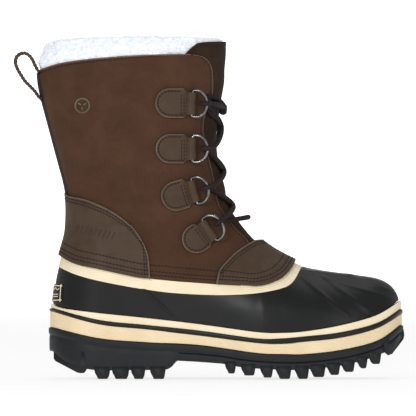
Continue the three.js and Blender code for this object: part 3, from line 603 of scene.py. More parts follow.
def rubber_material(name, dark, light, rough=(0.34, 0.46), grain=0.02, grain_size=0.5, specular=0.5):
    s = Surface(name, specular=specular)
    s.colour(s.ramp(s.noise(24, 4, 0.6), (0.3, dark), (0.72, light)))
    s.rough_between(s.noise(14, 4, 0.6), *rough)
    s.bump(s.noise(grain_size, 2, 0.6), grain)
    return s.material


def thread_material(name, dark, light):
    s = Surface(name, roughness=0.75, specular=0.3)
    s.colour(s.ramp(s.noise(0.7, 2, 0.6), (0.3, dark), (0.7, light)))
    s.bump(s.noise(0.35, 2, 0.5, (1, 1, 2.5)), 0.05)
    return s.material


def pile_material():
    s = Surface("pile_fibre", roughness=0.95, specular=0.15)
    s.colour(s.ramp(s.noise(3.5, 4, 0.65), (0.25, srgb(214, 222, 236)), (0.55, srgb(246, 249, 254))))
    s.shader.inputs["Sheen Weight"].default_value = 0.5
    s.shader.inputs["Subsurface Weight"].default_value = 0.12
    s.shader.inputs["Subsurface Scale"].default_value = 0.003
    # Faint white glow: painted light that brightens the pile, which is no lamp.
    s.shader.inputs["Emission Color"].default_value = (0.93, 0.95, 1.0, 1.0)
    s.shader.inputs["Emission Strength"].default_value = 0.16
    s.bump(s.noise(0.9, 4, 0.7), 0.25)
    return s.material


def felt_material():
    s = Surface("wool_felt", roughness=0.97, specular=0.12)
    s.colour(s.ramp(s.noise(1.6, 5, 0.75), (0.3, srgb(146, 143, 136)), (0.7, srgb(196, 193, 184))))
    s.bump(s.noise(0.8, 4, 0.75), 0.22)
    return s.material


def steel_material():
    s = Surface("bright_steel", roughness=0.2, specular=0.6, metallic=1.0)
    s.colour(s.ramp(s.noise(6, 3, 0.6), (0.3, srgb(92, 93, 94)), (0.7, srgb(150, 151, 152))))
    s.rough_between(s.noise(3, 3, 0.6), 0.14, 0.3)
    s.bump(s.noise(1.1, 2, 0.5), 0.012)
    return s.material


NUBUCK = nubuck_material("oiled_nubuck", srgb(68, 45, 32), srgb(76, 51, 36), srgb(84, 57, 40))
TONGUE_LEATHER = nubuck_material("tongue_nubuck", srgb(42, 28, 19), srgb(51, 35, 24), srgb(60, 42, 29))
SMOOTH = smooth_leather_material("smooth_leather", srgb(67, 51, 36), srgb(77, 59, 42))
# Cut edges: lighter than the leather, partly the raw edge's own tone and partly a painted highlight.
CUT_EDGE_AND_HIGHLIGHT = smooth_leather_material("cut_edge_and_highlight", srgb(92, 74, 62), srgb(118, 98, 84))
BINDING = smooth_leather_material("back_binding", srgb(44, 35, 32), srgb(60, 48, 44))
CREAM = rubber_material("cream_rubber", srgb(248, 230, 194), srgb(254, 241, 210),
                        (0.5, 0.64), 0.025, 0.7, 0.35)
CREAM_BAND = rubber_material("cream_band", srgb(240, 217, 178), srgb(249, 229, 191),
                             (0.52, 0.68), 0.03, 0.8, 0.35)
SHELL = rubber_material("shell_rubber", srgb(15, 16, 16), srgb(21, 22, 22), (0.32, 0.44), 0.015, 0.6, 0.3)
TREAD = rubber_material("outsole_rubber", srgb(22, 24, 26), srgb(30, 32, 34), (0.46, 0.6), 0.05, 0.45, 0.3)
THREAD = thread_material("dark_thread", srgb(30, 22, 22), srgb(46, 35, 34))
LACE_YARN = thread_material("lace_yarn", srgb(24, 15, 18), srgb(46, 31, 35))
PILE = pile_material()
FELT = felt_material()
STEEL = steel_material()
PRESSED = smooth_leather_material("pressed_mark", srgb(92, 82, 64), srgb(112, 102, 80))
PRESSED_DARK = smooth_leather_material("pressed_dark", srgb(60, 48, 38), srgb(72, 58, 46))


# ---------------------------------------------------------------- sole
def plan_ring(grow, around=130):
    """Closed plan outline of the sole, grown outwards."""
    k = np.linspace(0, 1, around + 1)
    x = HEEL_END + (TOE_END - HEEL_END) * (1 - np.cos(np.pi * k)) / 2
    ahead = np.maximum(0, (x - TOE_START) / (TOE_END - TOE_START))
    behind = np.maximum(0, (-98 - x) / 40.4)
    ends = np.sqrt(np.maximum(0, 1 - ahead ** 2.6)) * np.sqrt(np.maximum(0, 1 - behind ** 2))
    half = height(HALF_T, x) * ends
    middle = centre_at(x, 40)
    ring = np.concatenate([np.stack([x, middle - half], 1), np.stack([x, middle + half], 1)[-2:0:-1]])
    tangent = np.roll(ring, -1, 0) - np.roll(ring, 1, 0)
    tangent /= np.linalg.norm(tangent, axis=1, keepdims=True)
    return ring + grow * np.stack([tangent[:, 1], -tangent[:, 0]], 1)


def lofted(rings, close=False):
    """Faces through rings of equal length; open ends are filled straight across."""
    n, m = len(rings[0]), len(rings)
    faces = []
    for j in range(m if close else m - 1):
        a0, b0 = j * n, ((j + 1) % m) * n
        faces += [(a0 + i, a0 + (i + 1) % n, b0 + (i + 1) % n, b0 + i) for i in range(n)]
    if not close:
        for base in (0, (m - 1) * n):
            faces += [(base + i, base + i + 1, base + n - i - 1, base + (n - i) % n) for i in range(n // 2)]
    faces = [tuple(dict.fromkeys(f)) for f in faces]
    return np.concatenate(rings), [f for f in faces if len(f) > 2]


def sole_rings(section, bottom, top):
    """section lists (height fraction, extra height, grow)."""
    rings = []
    for fraction, extra, grow in section:
        ring = plan_ring(grow)
        low, high = bottom(ring[:, 0]), top(ring[:, 0])
        rings.append(np.column_stack([ring, low + (high - low) * fraction + extra]))
    return rings


def sole_piece(name, section, bottom, top, material, closed=True):
    points, faces = lofted(sole_rings(section, bottom, top), closed)
    return add_piece(name + "_visual", (points, faces), material, replaces=(name,))


wedge_low, wedge_high, stripe_high, feather = (
    functools.partial(height, table) for table in (WEDGE_B, WEDGE_T, STRIPE_T, FEATHER_T))


def grooved(count, outside, inside, depth):
    """Band section with soft horizontal grooves and rounded corners."""
    rows = [(0, 0, inside), (0, 0.02, outside - 1.0), (0, 0.12, outside - 0.4), (0, 0.4, outside)]
    for i in range(1, 4 * count):
        t = i / (4 * count)
        rows.append((t, 0, outside - depth * (0.5 - 0.5 * math.cos(2 * math.pi * t * count)) ** 3))
    return rows + [(1, -0.4, outside), (1, -0.12, outside - 0.4), (1, -0.02, outside - 1.0), (1, 0, inside)]


def plain_band(outside, inside, bulge=0.3):
    rows = [(0, 0, inside), (0, 0.02, outside - 0.9), (0, 0.15, outside - 0.35)]
    rows += [(t, 0, outside + bulge * math.sin(math.pi * t)) for t in (0.16, 0.3, 0.5, 0.7, 0.84)]
    return rows + [(1, -0.15, outside - 0.35), (1, -0.02, outside - 0.9), (1, 0, inside)]


WEDGE_LINES = 7
sole_piece("midsole_wedge", grooved(WEDGE_LINES, 2.3, -9, 0.32), wedge_low, lambda x: wedge_high(x) - 0.1,
           CREAM_BAND)
sole_piece("black_stripe", plain_band(2.6, -3.4), wedge_high, lambda x: stripe_high(x) - 0.1, SHELL)
sole_piece("welt_stripe", grooved(2, 1.7, -3.2, 0.16), stripe_high, lambda x: feather(x) - 0.4, CREAM)

TREAD_ROOT = [(-138, 24), (-128, 16), (-113, 9.5), (-98, 7.5), (-38, 8), (-33, 10), (-29.7, 16.2),
              (-10, 15.2), (12, 13.6), (25, 11), (45, 9.2), (70, 8), (95, 9.2), (120, 12.4), (138, 16.8),
              (150, 21.2), (163, 26), (169, 34)]
tread_root = functools.partial(height, np.array(TREAD_ROOT, float).T)


def outsole_body():
    ledge = [(1, -0.05, 1.2), (1, -0.3, 2.8), (1, -0.9, 3.35), (1, -2.2, 3.5), (1, -4.0, 3.5), (1, -5.4, 3.3),
             (1, -6.3, 2.8), (1, -7.0, 2.45), (1, -7.6, 2.6), (1, -8.2, 2.8)]
    wall = [(t, 0, 2.9) for t in (0.5, 0.35, 0.2)]
    foot = [(0, 1.2, 2.8), (0, 0.5, 2.5), (0, 0.12, 1.9), (0, 0, 0.9), (0, 0, -1)]
    inner = [(0, 0, -8), (0, 0, -16)]
    rows = [(1, -0.05, -18), (1, -0.05, -6)] + ledge + wall + foot + inner
    def top(x):
        return np.maximum(wedge_low(x), tread_root(x) + 8.5)

    return lofted(sole_rings(rows, tread_root, top), False)


HEEL_LUGS = [(-98, -89, 0), (-82.5, -72, 0), (-65.8, -57.7, 0), (-49, -39.6, 0)]
FORE_LUGS = [(17, 22.5, 5), (31, 39.6, 3.3), (48, 55, 1.5), (62, 71, 0.3), (78.6, 86.6, 0.3), (92, 101, 1.9),
             (107, 114, 3.7), (119.5, 127, 6.3), (133.5, 138.3, 9.3), (143.8, 150.5, 13)]
CHANNEL = 7.0
# Share of the way from the channel to the sidewall, and the outline's size there.
BLOCK_ROUNDING = [(0.0, 0.86), (0.0, 0.96), (0.04, 1.0), (0.5, 1.0), (0.93, 1.0), (0.98, 0.97), (1.0, 0.88)]


def edge_of(side, grow):
    ring = plan_ring(grow)
    half = len(ring) // 2
    line = ring[:half + 1] if side == LATERAL else np.vstack([ring[half:], ring[:1]])[::-1]
    order = np.argsort(line[:, 0])
    return line[order]


OUTER_EDGE = {side: edge_of(side, 2.9) for side in (LATERAL, MEDIAL)}


def lug_outline(rear, front, bottom, lean=2.4, rise=3.0):
    """Side view of a tread block with rounded lower corners."""
    root = max(float(tread_root(rear)), float(tread_root(front))) + rise
    r = 1.0
    middle = (root + bottom) / 2
    return [(rear - lean * 1.5, root), (rear - lean, middle), (rear - 0.3, bottom + 1.6 * r),
            (rear, bottom + 0.5 * r), (rear + r, bottom), (front - r, bottom),
            (front - 0.15, bottom + 0.5 * r), (front + 0.3, bottom + 1.6 * r), (front + 0.9, middle),
            (front + 1.6, root)]


def block(outline, side, inner=CHANNEL):
    """A tread block reaching from the middle channel to the sidewall."""
    outline = np.array(outline)
    bottom = outline[:, 1].min()
    line = OUTER_EDGE[side]
    reach = np.interp(outline[:, 0], line[:, 0], line[:, 1]) + side * 0.4
    middle = outline.mean(0)
    rings = []
    for share, shrink in BLOCK_ROUNDING:
        xz = middle + (outline - middle) * [shrink, 1]
        xz[:, 1] = np.maximum(xz[:, 1], bottom + (1 - shrink) * 9)
        y = side * inner + (reach - side * inner) * share
        rings.append(np.column_stack([xz[:, 0], y, xz[:, 1]]))
    n = len(outline)
    points = np.concatenate(rings)
    faces = [(j * n + i, j * n + (i + 1) % n, (j + 1) * n + (i + 1) % n, (j + 1) * n + i)
             for j in range(len(rings) - 1) for i in range(n)]
    faces += [tuple(range(n))[::-1], tuple(range((len(rings) - 1) * n, len(rings) * n))]
    return points, faces


HEEL_BLOCK = [(-137.2, 26), (-137.2, 17.5), (-135.6, 15.4), (-116, 5.6), (-113.5, 5.0), (-110.2, 5.2),
              (-109.0, 6.2), (-108.4, 9.0), (-107, 13), (-110, 24)]
TOE_BLOCK = [(153, 31), (154.3, 23.6), (157.9, 20.4), (161.2, 21.7), (168, 29.3), (172.2, 34.6), (172.9, 38),
             (172.3, 42.6), (170.4, 45.6), (158.5, 37.4)]
tread = [outsole_body()]
for side in (LATERAL, MEDIAL):
    for rear, front, bottom in HEEL_LUGS + FORE_LUGS:
        tread.append(block(lug_outline(rear, front, bottom), side))
    tread.append(block(HEEL_BLOCK, side, 0.2))
    tread.append(block(TOE_BLOCK, side, 0.2))
add_piece("outsole_visual", merge(tread), TREAD, replaces=("outsole",))


# ---------------------------------------------------------------- moulded shell
# Distances from a panel's edge at which its grid has rows, so that the edge can be rounded.
EDGE_ROWS = (0, 0.3, 0.8)


def raised(points, up):
    return [(x, z + up) for x, z in points]


def band_edges(low, high):
    return {"bottom": Edge(low), "top": Edge(high), "left": stretch(BACK_LINE, low[0], high[0]),
            "right": stretch(FRONT_LINE, low[-1], high[-1])}


def along_line(x, z, a, b, width, fade=8):
    """A soft ridge in the side view between two points."""
    a, b = np.array(a, float), np.array(b, float)
    d = b - a
    length = np.hypot(*d)
    t = ((x - a[0]) * d[0] + (z - a[1]) * d[1]) / length
    off = ((x - a[0]) * d[1] - (z - a[1]) * d[0]) / length
    ends = smooth((t + fade) / fade) * smooth((length + fade - t) / fade)
    return np.exp(-(off / width) ** 2) * ends


SHELL_RIDGES = [((-55.8, 78), (-34.5, 58.4), 0.9, 1.2), ((82, 90), (120, 57), 1.8, 0.9),
                ((98, 92), (141, 60), 1.7, 0.8), ((102, 89), (157, 72), 1.4, 0.7),
                ((84, 95), (126, 91.4), 1.2, 0.5), ((126, 91), (158, 79), 1.0, 0.4)]


def shell_visual():
    edges = {"bottom": Edge(FEATHER), "top": Edge(SHELL_TOP),
             "left": stretch(BACK_LINE, (-138.3, 66), (-132.6, 99)),
             "right": stretch(FRONT_LINE, (168.2, 69), (82.3, 98.9))}
    patch = Patch(edges, back=True, front=True, around=190, up=64, low=EDGE_ROWS, high=(0, 0.25, 0.6, 1.1))
    x, z = patch.flat[..., 0], patch.flat[..., 1]
    outer = -0.9 * cut(patch.distance("high"), 0.9) + 0 * x
    for a, b, width, depth in SHELL_RIDGES:
        outer = outer + depth * along_line(x, z, a, b, width)
    outer = outer - 0.5 * smooth((x - 92) / 30) * smooth((z - 79) / 8)
    inner = np.full_like(outer, -RUBBER)
    sheet("shell_visual", patch, outer, inner, SHELL, replaces=("rubber_shell",))


shell_visual()

rim_low = raised(SHELL_TOP, -0.6)
rim_low[-1] = (81.9, 98.6)
rim_high = raised(LEATHER_EDGE, 3.5)
rim_high[-1] = (71, 104)
rim = Patch(band_edges(rim_low, rim_high), back=True, front=True, around=150, up=26,
            low=(0, 0.3), high=(0, 0.5))
rim_wave = 0.18 * np.cos(rim.distance("low") * 2 * np.pi / 2.2) * smooth(rim.distance("low") / 2)
sheet("rim_visual", rim, 0.35 + rim_wave - 0.5 * cut(rim.distance("low"), 0.8), -1.6, CREAM,
      replaces=("shell_rim",))


# ---------------------------------------------------------------- leather upper
def join_stitches(name, rows, body="root"):
    """All of one group's thread in a single piece."""
    return add_piece(name, merge(rows), THREAD, body)


def bead(name, patch, end, distance, offset, radius, skip=0):
    """The cut edge of a panel as a round line along one end, coloured lighter: partly the raw edge's own
    tone, partly a painted highlight.
    """
    line = patch.line(end, distance, offset)[0][skip:]
    return add_piece(name, tube(line, radius, 10), CUT_EDGE_AND_HIGHLIGHT)


QUARTER_EDGES = {"bottom": Edge(LEATHER_EDGE[:6] + [(28, 82.2)]), "top": Edge(COLLAR),
                 "left": stretch(BACK_LINE, LEATHER_EDGE[0], COLLAR[0], 0.06), "right": Edge(EYESTAY)}
HEM_ROWS = (3.8, 7.0, 12.4)
EDGE_ROW = 2.6


def ripples(points, size, depth, shift=0.0):
    """Slow uneven waves over a surface."""
    flat = points.reshape(-1, 3) / size + shift
    values = [noise.noise(Vector(p)) for p in flat]
    return depth * np.array(values).reshape(points.shape[:-1])


def quarter(side, name):
    patch = Patch(QUARTER_EDGES, side=side, around=150, up=150, low=EDGE_ROWS, high=EDGE_ROWS,
                  last=EDGE_ROWS + (1.6,))
    low, high, front = (patch.distance(e) for e in ("low", "high", "last"))
    hem = HEM_SWELL * (1 - smooth((low - 4) / 16))
    offset = hem + ripples(patch.points, 26, 0.5, side * 7) + ripples(patch.points, 9, 0.12)
    offset = offset - 0.7 * cut(np.minimum(low, np.minimum(high, front)), 0.8)
    for at in HEM_ROWS:
        offset = offset + groove(low, at, 0.32, 0.8)
    offset = offset + groove(high, EDGE_ROW, 0.3, 0.8) + groove(front, EDGE_ROW, 0.3, 0.8)
    offset = offset - 0.4 * np.exp(-((patch.distance("first")) / 3.0) ** 2)
    sheet(name + "_visual", patch, offset, offset - LEATHER, NUBUCK, replaces=(name,))
    rows = []
    for at in HEM_ROWS:
        rows += stitches(*patch.line("low", at, offset), start=2)
    rows += stitches(*patch.line("high", EDGE_ROW, offset), start=2)
    rows += stitches(*patch.line("last", EDGE_ROW, offset), start=3)
    join_stitches(name + "_thread", rows)
    bead(name + "_collar_edge", patch, "high", 0.2, offset - 0.2, 0.75)
    bead(name + "_front_edge", patch, "last", 0.15, offset - 0.15, 0.6, skip=2)
    return patch, offset


SIDE_NAMES = {LATERAL: "lateral", MEDIAL: "medial"}
QUARTER = {side: quarter(side, "quarter_" + name) for side, name in SIDE_NAMES.items()}


OVERLAY_BORDERS = ("high", "first", "last")
DOUBLE_ROW = (2.2, 4.6)


def overlay(name, edges, under, wrap, around=110, up=70):
    """A smooth leather piece laid over the quarter, with stitched cut edges coloured lighter by their raw
    tone and a painted highlight.
    """
    back, front = wrap == "back", wrap == "front"
    close = EDGE_ROWS + (1.6,)
    patch = Patch(edges, back=back, front=front, around=around, up=up, low=close, high=close,
                  first=() if back else close, last=close if back else ())
    hem_swell = under * (1 - 0.55 * smooth(patch.distance("low") / 24))
    border = patch.border(*OVERLAY_BORDERS)
    offset = hem_swell + 0.15 + OVERLAY - 0.9 * cut(np.minimum(border, patch.distance("low")), 1.1)
    offset = offset + 0.12 * np.exp(-((border - 0.9) / 0.6) ** 2)
    for at in HEM_ROWS:
        offset = offset + groove(patch.distance("low"), at, 0.3, 0.8)
    for at in DOUBLE_ROW:
        offset = offset + groove(border, at, 0.3, 0.7)
    offset = offset + ripples(patch.points, 18, 0.22, 3)
    sheet(name + "_visual", patch, offset, hem_swell - 0.5, SMOOTH, replaces=(name,))
    rows = []
    for at in HEM_ROWS:
        rows += stitches(*patch.line("low", at, offset), start=3)
    for end in OVERLAY_BORDERS:
        for at in DOUBLE_ROW:
            rows += stitches(*patch.line(end, at, offset), start=3)
        bead(name + "_edge_" + end, patch, end, 0.35, offset - 0.25, 0.72)
    join_stitches(name + "_thread", rows)
    return patch, offset


COUNTER, COUNTER_OFFSET = overlay(
    "heel_counter",
    {"bottom": Edge(LEATHER_EDGE[:4] + [(-51.8, 88.3)]), "top": Edge(COUNTER_TOP),
     "left": stretch(BACK_LINE, LEATHER_EDGE[0], COUNTER_TOP[0]), "right": Edge(COUNTER_FRONT)},
    2.0, "back")

overlay("vamp_tip",
        {"bottom": Edge([(6.7, 83.4)] + LEATHER_EDGE[6:]),
         "top": Edge(TIP_REAR), "left": Edge([(6.7, 83.4), TIP_REAR[0]], True),
         "right": stretch(FRONT_LINE, (75.6, 101.7), (46, 120.5))},
        2.4, "front", 100, 60)


# Piping up the back seam
stay_line = np.array([p for p in BACK_LINE if 159 <= p[1] <= 272])[::8]
stay_points = np.column_stack([stay_line[:, 0] - 0.3, 0 * stay_line[:, 0], stay_line[:, 1]])
stay_tube = tube(even(stay_points, 120), 1.9, 16)
add_piece("back_stay_visual", stay_tube, BINDING, replaces=("back_stay",))
seam_rows = []
for side in (LATERAL, MEDIAL):
    patch, offset = QUARTER[side]
    path, normals = patch.line("first", 3.4, offset)
    keep = path[:, 2] > 168
    seam_rows += stitches(path[keep], normals[keep], start=1)
join_stitches("back_seam_thread", seam_rows)

# Tongue, with soft cross folds
TONGUE_REAR = [(40, 98), (22, 112), (2, 135), (-10, 160), (-18, 190), (-22, 215), (-22, 240), (-21, 284.6)]
tongue_edges = {"bottom": Edge([(40, 98), (52, 99), (62, 103), (68, 106)]),
                "top": Edge([(-21, 284.6), (-11.5, 293.2), (-4.4, 296.2), (17, 297.5)]),
                "left": Edge(TONGUE_REAR), "right": stretch(FRONT_LINE, (68, 106), (17, 297.5))}
tongue = Patch(tongue_edges, front=True, around=80, up=170, high=EDGE_ROWS)
folds = 0.8 * np.sin(tongue.points[..., 2] / 5.2 + 1.3 * np.sin(tongue.points[..., 1] / 11)) \
    * smooth((210 - tongue.points[..., 2]) / 40) * smooth((tongue.points[..., 2] - 112) / 20)
tongue_offset = -1.9 + folds + ripples(tongue.points, 14, 0.5, 5)
tongue_offset = tongue_offset - 0.8 * cut(tongue.distance("high"), 0.9) \
    + groove(tongue.distance("high"), 3.0, 0.3, 0.8)
sheet("tongue_visual", tongue, tongue_offset, tongue_offset - 2.0, TONGUE_LEATHER,
      replaces=("bellows_tongue",))
tongue_rows = stitches(*tongue.line("high", 3.0, tongue_offset), start=3)
join_stitches("tongue_thread", tongue_rows)

# ---------------------------------------------------------------- liner, pile cuff
liner_low = raised(FEATHER, 9)
liner_low[0], liner_low[-1] = (-137.6, 75), (166.2, 77)
CUFF_FOOT = COLLAR + [(17, 286)]
liner = Patch(band_edges(liner_low, raised(CUFF_FOOT, 2.0)), back=True, front=True, around=110, up=90)
liner_wave = ripples(liner.points, 12, 0.6, 2)
liner_points = [liner.moved(FELT_OUT - 0.6 + 0 * liner_wave), liner.moved(FELT_IN + 0.6 + liner_wave)]
felt_floor = plan_ring(-9.2, 110)
felt_rings = [np.column_stack([felt_floor, height(WEDGE_T, felt_floor[:, 0]) + 7])]
felt_rings += list(liner_points[0]) + list(liner_points[1][::-1])
for grow in (-16.2, -20):
    ring = plan_ring(grow, 110)
    felt_rings.append(np.column_stack([ring, height(WEDGE_T, ring[:, 0]) + 16 - (grow + 16.2) * 0.1]))
felt = lofted(felt_rings)
liner_object = add_piece("liner_visual", felt, FELT, replaces=("felt_liner", "footbed"))

CUFF_TOP = [(-149, 296), (-134, 299), (-95, 301), (-57, 301.4), (-14, 301), (16, 300)]
cuff_low = raised(CUFF_FOOT, -1.5)
cuff = Patch(band_edges(cuff_low, raised(CUFF_TOP, -2.5)), back=True, front=True, around=190, up=26)


def curls(points, size, shift=0.0):
    """Rounded tufts, 0..1."""
    flat = points.reshape(-1, 3) / size + shift
    near = [noise.voronoi(Vector(p))[0][0] for p in flat]
    return np.clip(1 - 1.35 * np.array(near), 0, 1).reshape(points.shape[:-1])


CUFF_DEPTH = 10.5
CUFF_ROLL = 14
LINING_ROWS, LINING_STEP = 14, 2.4


def cuff_visual():
    """The pile turned over the collar: out over the felt, across the top and down inside."""
    rows = len(cuff.points)
    up = np.linspace(0, 1, rows)[:, None]
    x = cuff.points[..., 0]
    bulge = np.sin(np.pi * np.minimum(1, 0.25 + 0.75 * up))
    outer = -6.0 + 5.2 * bulge * (1 - smooth((x + 50) / 25))
    profile = [cuff.moved(outer)[j] for j in range(rows)]
    normals = [cuff.normals[j] for j in range(rows)]
    top_p, top_n = cuff.moved(outer)[-1], cuff.normals[-1]
    flat_n = unit(top_n * [1, 1, 0])
    for i in range(1, CUFF_ROLL + 1):
        a = np.pi * i / CUFF_ROLL
        centre = top_p - flat_n * CUFF_DEPTH / 2
        out = flat_n * math.cos(a) + np.array([0, 0, 1]) * math.sin(a) * 0.5
        profile.append(centre + out * CUFF_DEPTH / 2)
        normals.append(unit(out))
    for i in range(1, LINING_ROWS + 1):
        profile.append(top_p - flat_n * CUFF_DEPTH - np.array([0, 0, 1.0]) * i * LINING_STEP)
        normals.append(-flat_n)
    p, n = np.array(profile), np.array(normals)
    tuft = 1.9 * curls(p, 4.2) + 0.9 * curls(p, 1.9, 9)
    p = p + n * (tuft - 1.0)[..., None]
    back = [p[-1] + flat_n * 3.0, p[0] - flat_n * 3.0]
    pile = lofted(list(p) + back, close=True)
    piece = add_piece("cuff_visual", pile, PILE, replaces=("pile_cuff",))
    return p, n


CUFF_POINTS, CUFF_NORMALS = cuff_visual()


def pile_curls(count=2600):
    """Short curled yarn ends over the pile."""
    rng = random.Random(5)
    rows, span = CUFF_POINTS.shape[:2]
    parts = []
    for _ in range(count):
        j, i = rng.randrange(4, rows - 10), rng.randrange(span)
        p, n = CUFF_POINTS[j, i], CUFF_NORMALS[j, i]
        side = np.cross(n, [rng.uniform(-1, 1), rng.uniform(-1, 1), rng.uniform(-1, 1)])
        side /= max(1e-6, np.linalg.norm(side))
        other = np.cross(n, side)
        r, turn = rng.uniform(0.6, 1.15), rng.uniform(2.6, 5.2)
        angles = np.linspace(0, turn, 7)[:, None]
        lift = n * (0.3 + r * np.sin(angles / 2) * 0.9)
        curl = p + lift + side * r * np.cos(angles) + other * r * np.sin(angles)
        curl[0] = p - n * 0.4
        parts.append(tube(curl, 0.2, 4))
    return add_piece("cuff_curls", merge(parts), PILE)


pile_curls()


# ---------------------------------------------------------------- ring tabs and rings
class RingFrame:
    """Local axes of a ring on the leather: ahead, up along it and outwards."""

    def __init__(self, spot, side):
        x, z, tilt = spot
        step = 0.5
        self.spot, self.side = spot, side
        self.origin = surface(np.float64(x), np.float64(z), side)
        along_x = surface(x + step, np.float64(z), side) - surface(x - step, np.float64(z), side)
        along_z = surface(np.float64(x), z + step, side) - surface(np.float64(x), z - step, side)
        out = np.cross(along_x, along_z)
        out /= np.linalg.norm(out)
        self.out = out if out[1] * side > 0 else -out
        angle = math.radians(tilt)
        ahead = along_x * math.cos(angle) + along_z * math.sin(angle)
        self.ahead = ahead / np.linalg.norm(ahead)
        up = np.cross(self.out, self.ahead)
        self.up = up if up[2] > 0 else -up

    def point(self, b, a, n):
        b, a, n = (np.asarray(v, float)[..., None] for v in (b, a, n))
        return self.origin + self.ahead * b + self.up * a + self.out * n

    def leather(self, b, a):
        """Points on the boot's surface at the tab's own distances."""
        x, z, tilt = self.spot
        c, s = math.cos(math.radians(tilt)), math.sin(math.radians(tilt))
        return surface(x + b * c - a * s, z + b * s + a * c, self.side)

    def leather_and_normal(self, b, a, step=0.4):
        """The same points with the leather's outward normals."""
        ahead = self.leather(b + step, a) - self.leather(b - step, a)
        up = self.leather(b, a + step) - self.leather(b, a - step)
        normal = unit(np.cross(ahead, up))
        normal[np.sum(normal * self.out, -1) < 0] *= -1
        return self.leather(b, a), normal


TAB_HALF = 12.6
STRAP_HALF = 10.3
STRAP_START = -4.5
EYE_IN = 1.75
STRAP_THICK = 1.4
# How far a tab's stitches lie inside its edge.
TAB_STITCH = 2.1


def tab_half(b, length):
    """Half height of a tab: a round rear end, a straight middle, then the narrower strap."""
    rear = np.sqrt(np.maximum(0, TAB_HALF ** 2 - np.minimum(0, b + length - TAB_HALF) ** 2))
    return rear - (TAB_HALF - STRAP_HALF) * smooth((b - STRAP_START + 1.2) / 2.0)


def tab_plate(place, length):
    along = -length + (length - 2.0) * (1 - np.cos(np.linspace(0, np.pi / 2, 64)))
    across = np.sin(np.linspace(-np.pi / 2, np.pi / 2, 49))
    b = np.broadcast_to(along[:, None], (len(along), len(across)))
    a = tab_half(along, length)[:, None] * across[None, :]
    base, normal = place.leather_and_normal(b, a)
    round_end = TAB_HALF - np.hypot(np.minimum(0, b + length - TAB_HALF), a)
    border = np.maximum(0, np.where(b < TAB_HALF - length, round_end, tab_half(b, length) - np.abs(a)))
    return base, normal, border


def stitch_path(length, inset):
    """U shaped stitch row inside a tab's edge, as side distances."""
    r = TAB_HALF - inset
    front = STRAP_START - 1.6
    turn = np.linspace(-np.pi / 2, np.pi / 2, 40)
    centre = TAB_HALF - length
    b = np.concatenate([np.linspace(front, centre, 16), centre - r * np.cos(turn),
                        np.linspace(centre, front, 16)])
    a = np.concatenate([np.full(16, -r), r * np.sin(turn), np.full(16, r)])
    return b, a


def over_tab(place, b, a, lift):
    """A line lying at a height above the leather under a tab."""
    base, normal = place.leather_and_normal(b, a)
    return even(base + normal * lift, 60)


def tab_visual(label, place, length):
    base, normal, border = tab_plate(place, length)
    offset = 2.9 - 0.9 * cut(border, 1.0) + groove(border, TAB_STITCH, 0.3, 0.7)
    offset = offset + ripples(base, 10, 0.18, 4)
    plate = grid_solid(base + normal * offset[..., None], base + normal * 0.4)
    strap = []
    path_b = [-5.6, -4.9, -4.2, -3.5, -2.7]
    path_n = [1.6, 2.3, 3.3, 4.6, 5.8]
    reach = EYE_IN + STRAP_THICK / 2
    turn = np.linspace(math.radians(115), math.radians(-110), 16)
    path = list(zip(path_b, path_n)) + [(reach * math.cos(t), BAR_LIFT + reach * math.sin(t)) for t in turn]
    path += [(-3.2, 1.9), (-5.5, 1.5)]
    line = even(catmull(path, 80), 60)
    tangent = unit(np.gradient(line, axis=0))
    side_way = np.stack([-tangent[:, 1], tangent[:, 0]], 1)
    thick = STRAP_THICK / 2 * np.minimum(1, np.linspace(0.25, 8, len(line)))[:, None]
    for a_at, shrink in ((-1.0, 0.45), (-0.985, 0.8), (-0.95, 1.0), (-0.5, 1), (0, 1), (0.5, 1), (0.95, 1.0),
                         (0.985, 0.8), (1.0, 0.45)):
        loop = np.concatenate([line + side_way * thick * shrink, (line - side_way * thick * shrink)[::-1]])
        half = STRAP_HALF - 0.7 * smooth((loop[:, 0] + 6) / 6)
        strap.append(place.point(loop[:, 0], a_at * half, loop[:, 1]))
    add_piece("tab_visual_" + label, merge([plate, lofted(strap)]), SMOOTH, replaces=("ring_tab_" + label,))
    rows = []
    sb, sa = stitch_path(length, TAB_STITCH)
    paths = [over_tab(place, sb, sa, 2.72)]
    for at in (STRAP_START - 4.0, STRAP_START - 1.6):
        sa = np.linspace(2.2 - TAB_HALF, TAB_HALF - 2.2, 30)
        paths.append(over_tab(place, np.full(30, at), sa, 2.75))
    for path in paths:
        rows += stitches(path, np.tile(place.out, (len(path), 1)))
    join_stitches("tab_thread_" + label, rows)
    rim_b, rim_a = stitch_path(length, 0.35)
    edge_line = over_tab(place, rim_b, rim_a, 2.05)
    # The tab's cut edge, coloured lighter by its raw tone and a painted highlight.
    add_piece("tab_edge_" + label, tube(edge_line, 0.75, 8), CUT_EDGE_AND_HIGHLIGHT)


def closed_curve(points, count):
    p = np.asarray(points, float)
    n = len(p)
    out = np.vstack([catmull_span(*p[np.arange(i - 1, i + 3) % n], 24) for i in range(n)])
    return even(np.vstack([out, out[:1]]), count + 1)[:-1]


def ring_visual(label, place):
    spots = [(0, a, BAR_LIFT) for a in (-8, 0, 8)] + [(0.9, RING_HALF - 1, BAR_LIFT + 0.3)]
    turns = 8
    for i in range(1, turns):
        angle = math.pi * i / turns
        b = RING_REACH * math.sin(angle) ** 0.8
        spots.append((b, RING_HALF * math.cos(angle), BAR_LIFT + RING_LIFT * b / RING_REACH))
    spots.append((0.9, 1 - RING_HALF, BAR_LIFT + 0.3))
    path = np.array([place.point(*s) for s in spots])
    wire = tube(closed_curve(path, 150), WIRE / 2, 18, closed=True)
    add_piece("ring_visual_" + label, wire, STEEL, "d_ring_" + label, ("d_ring_" + label,))


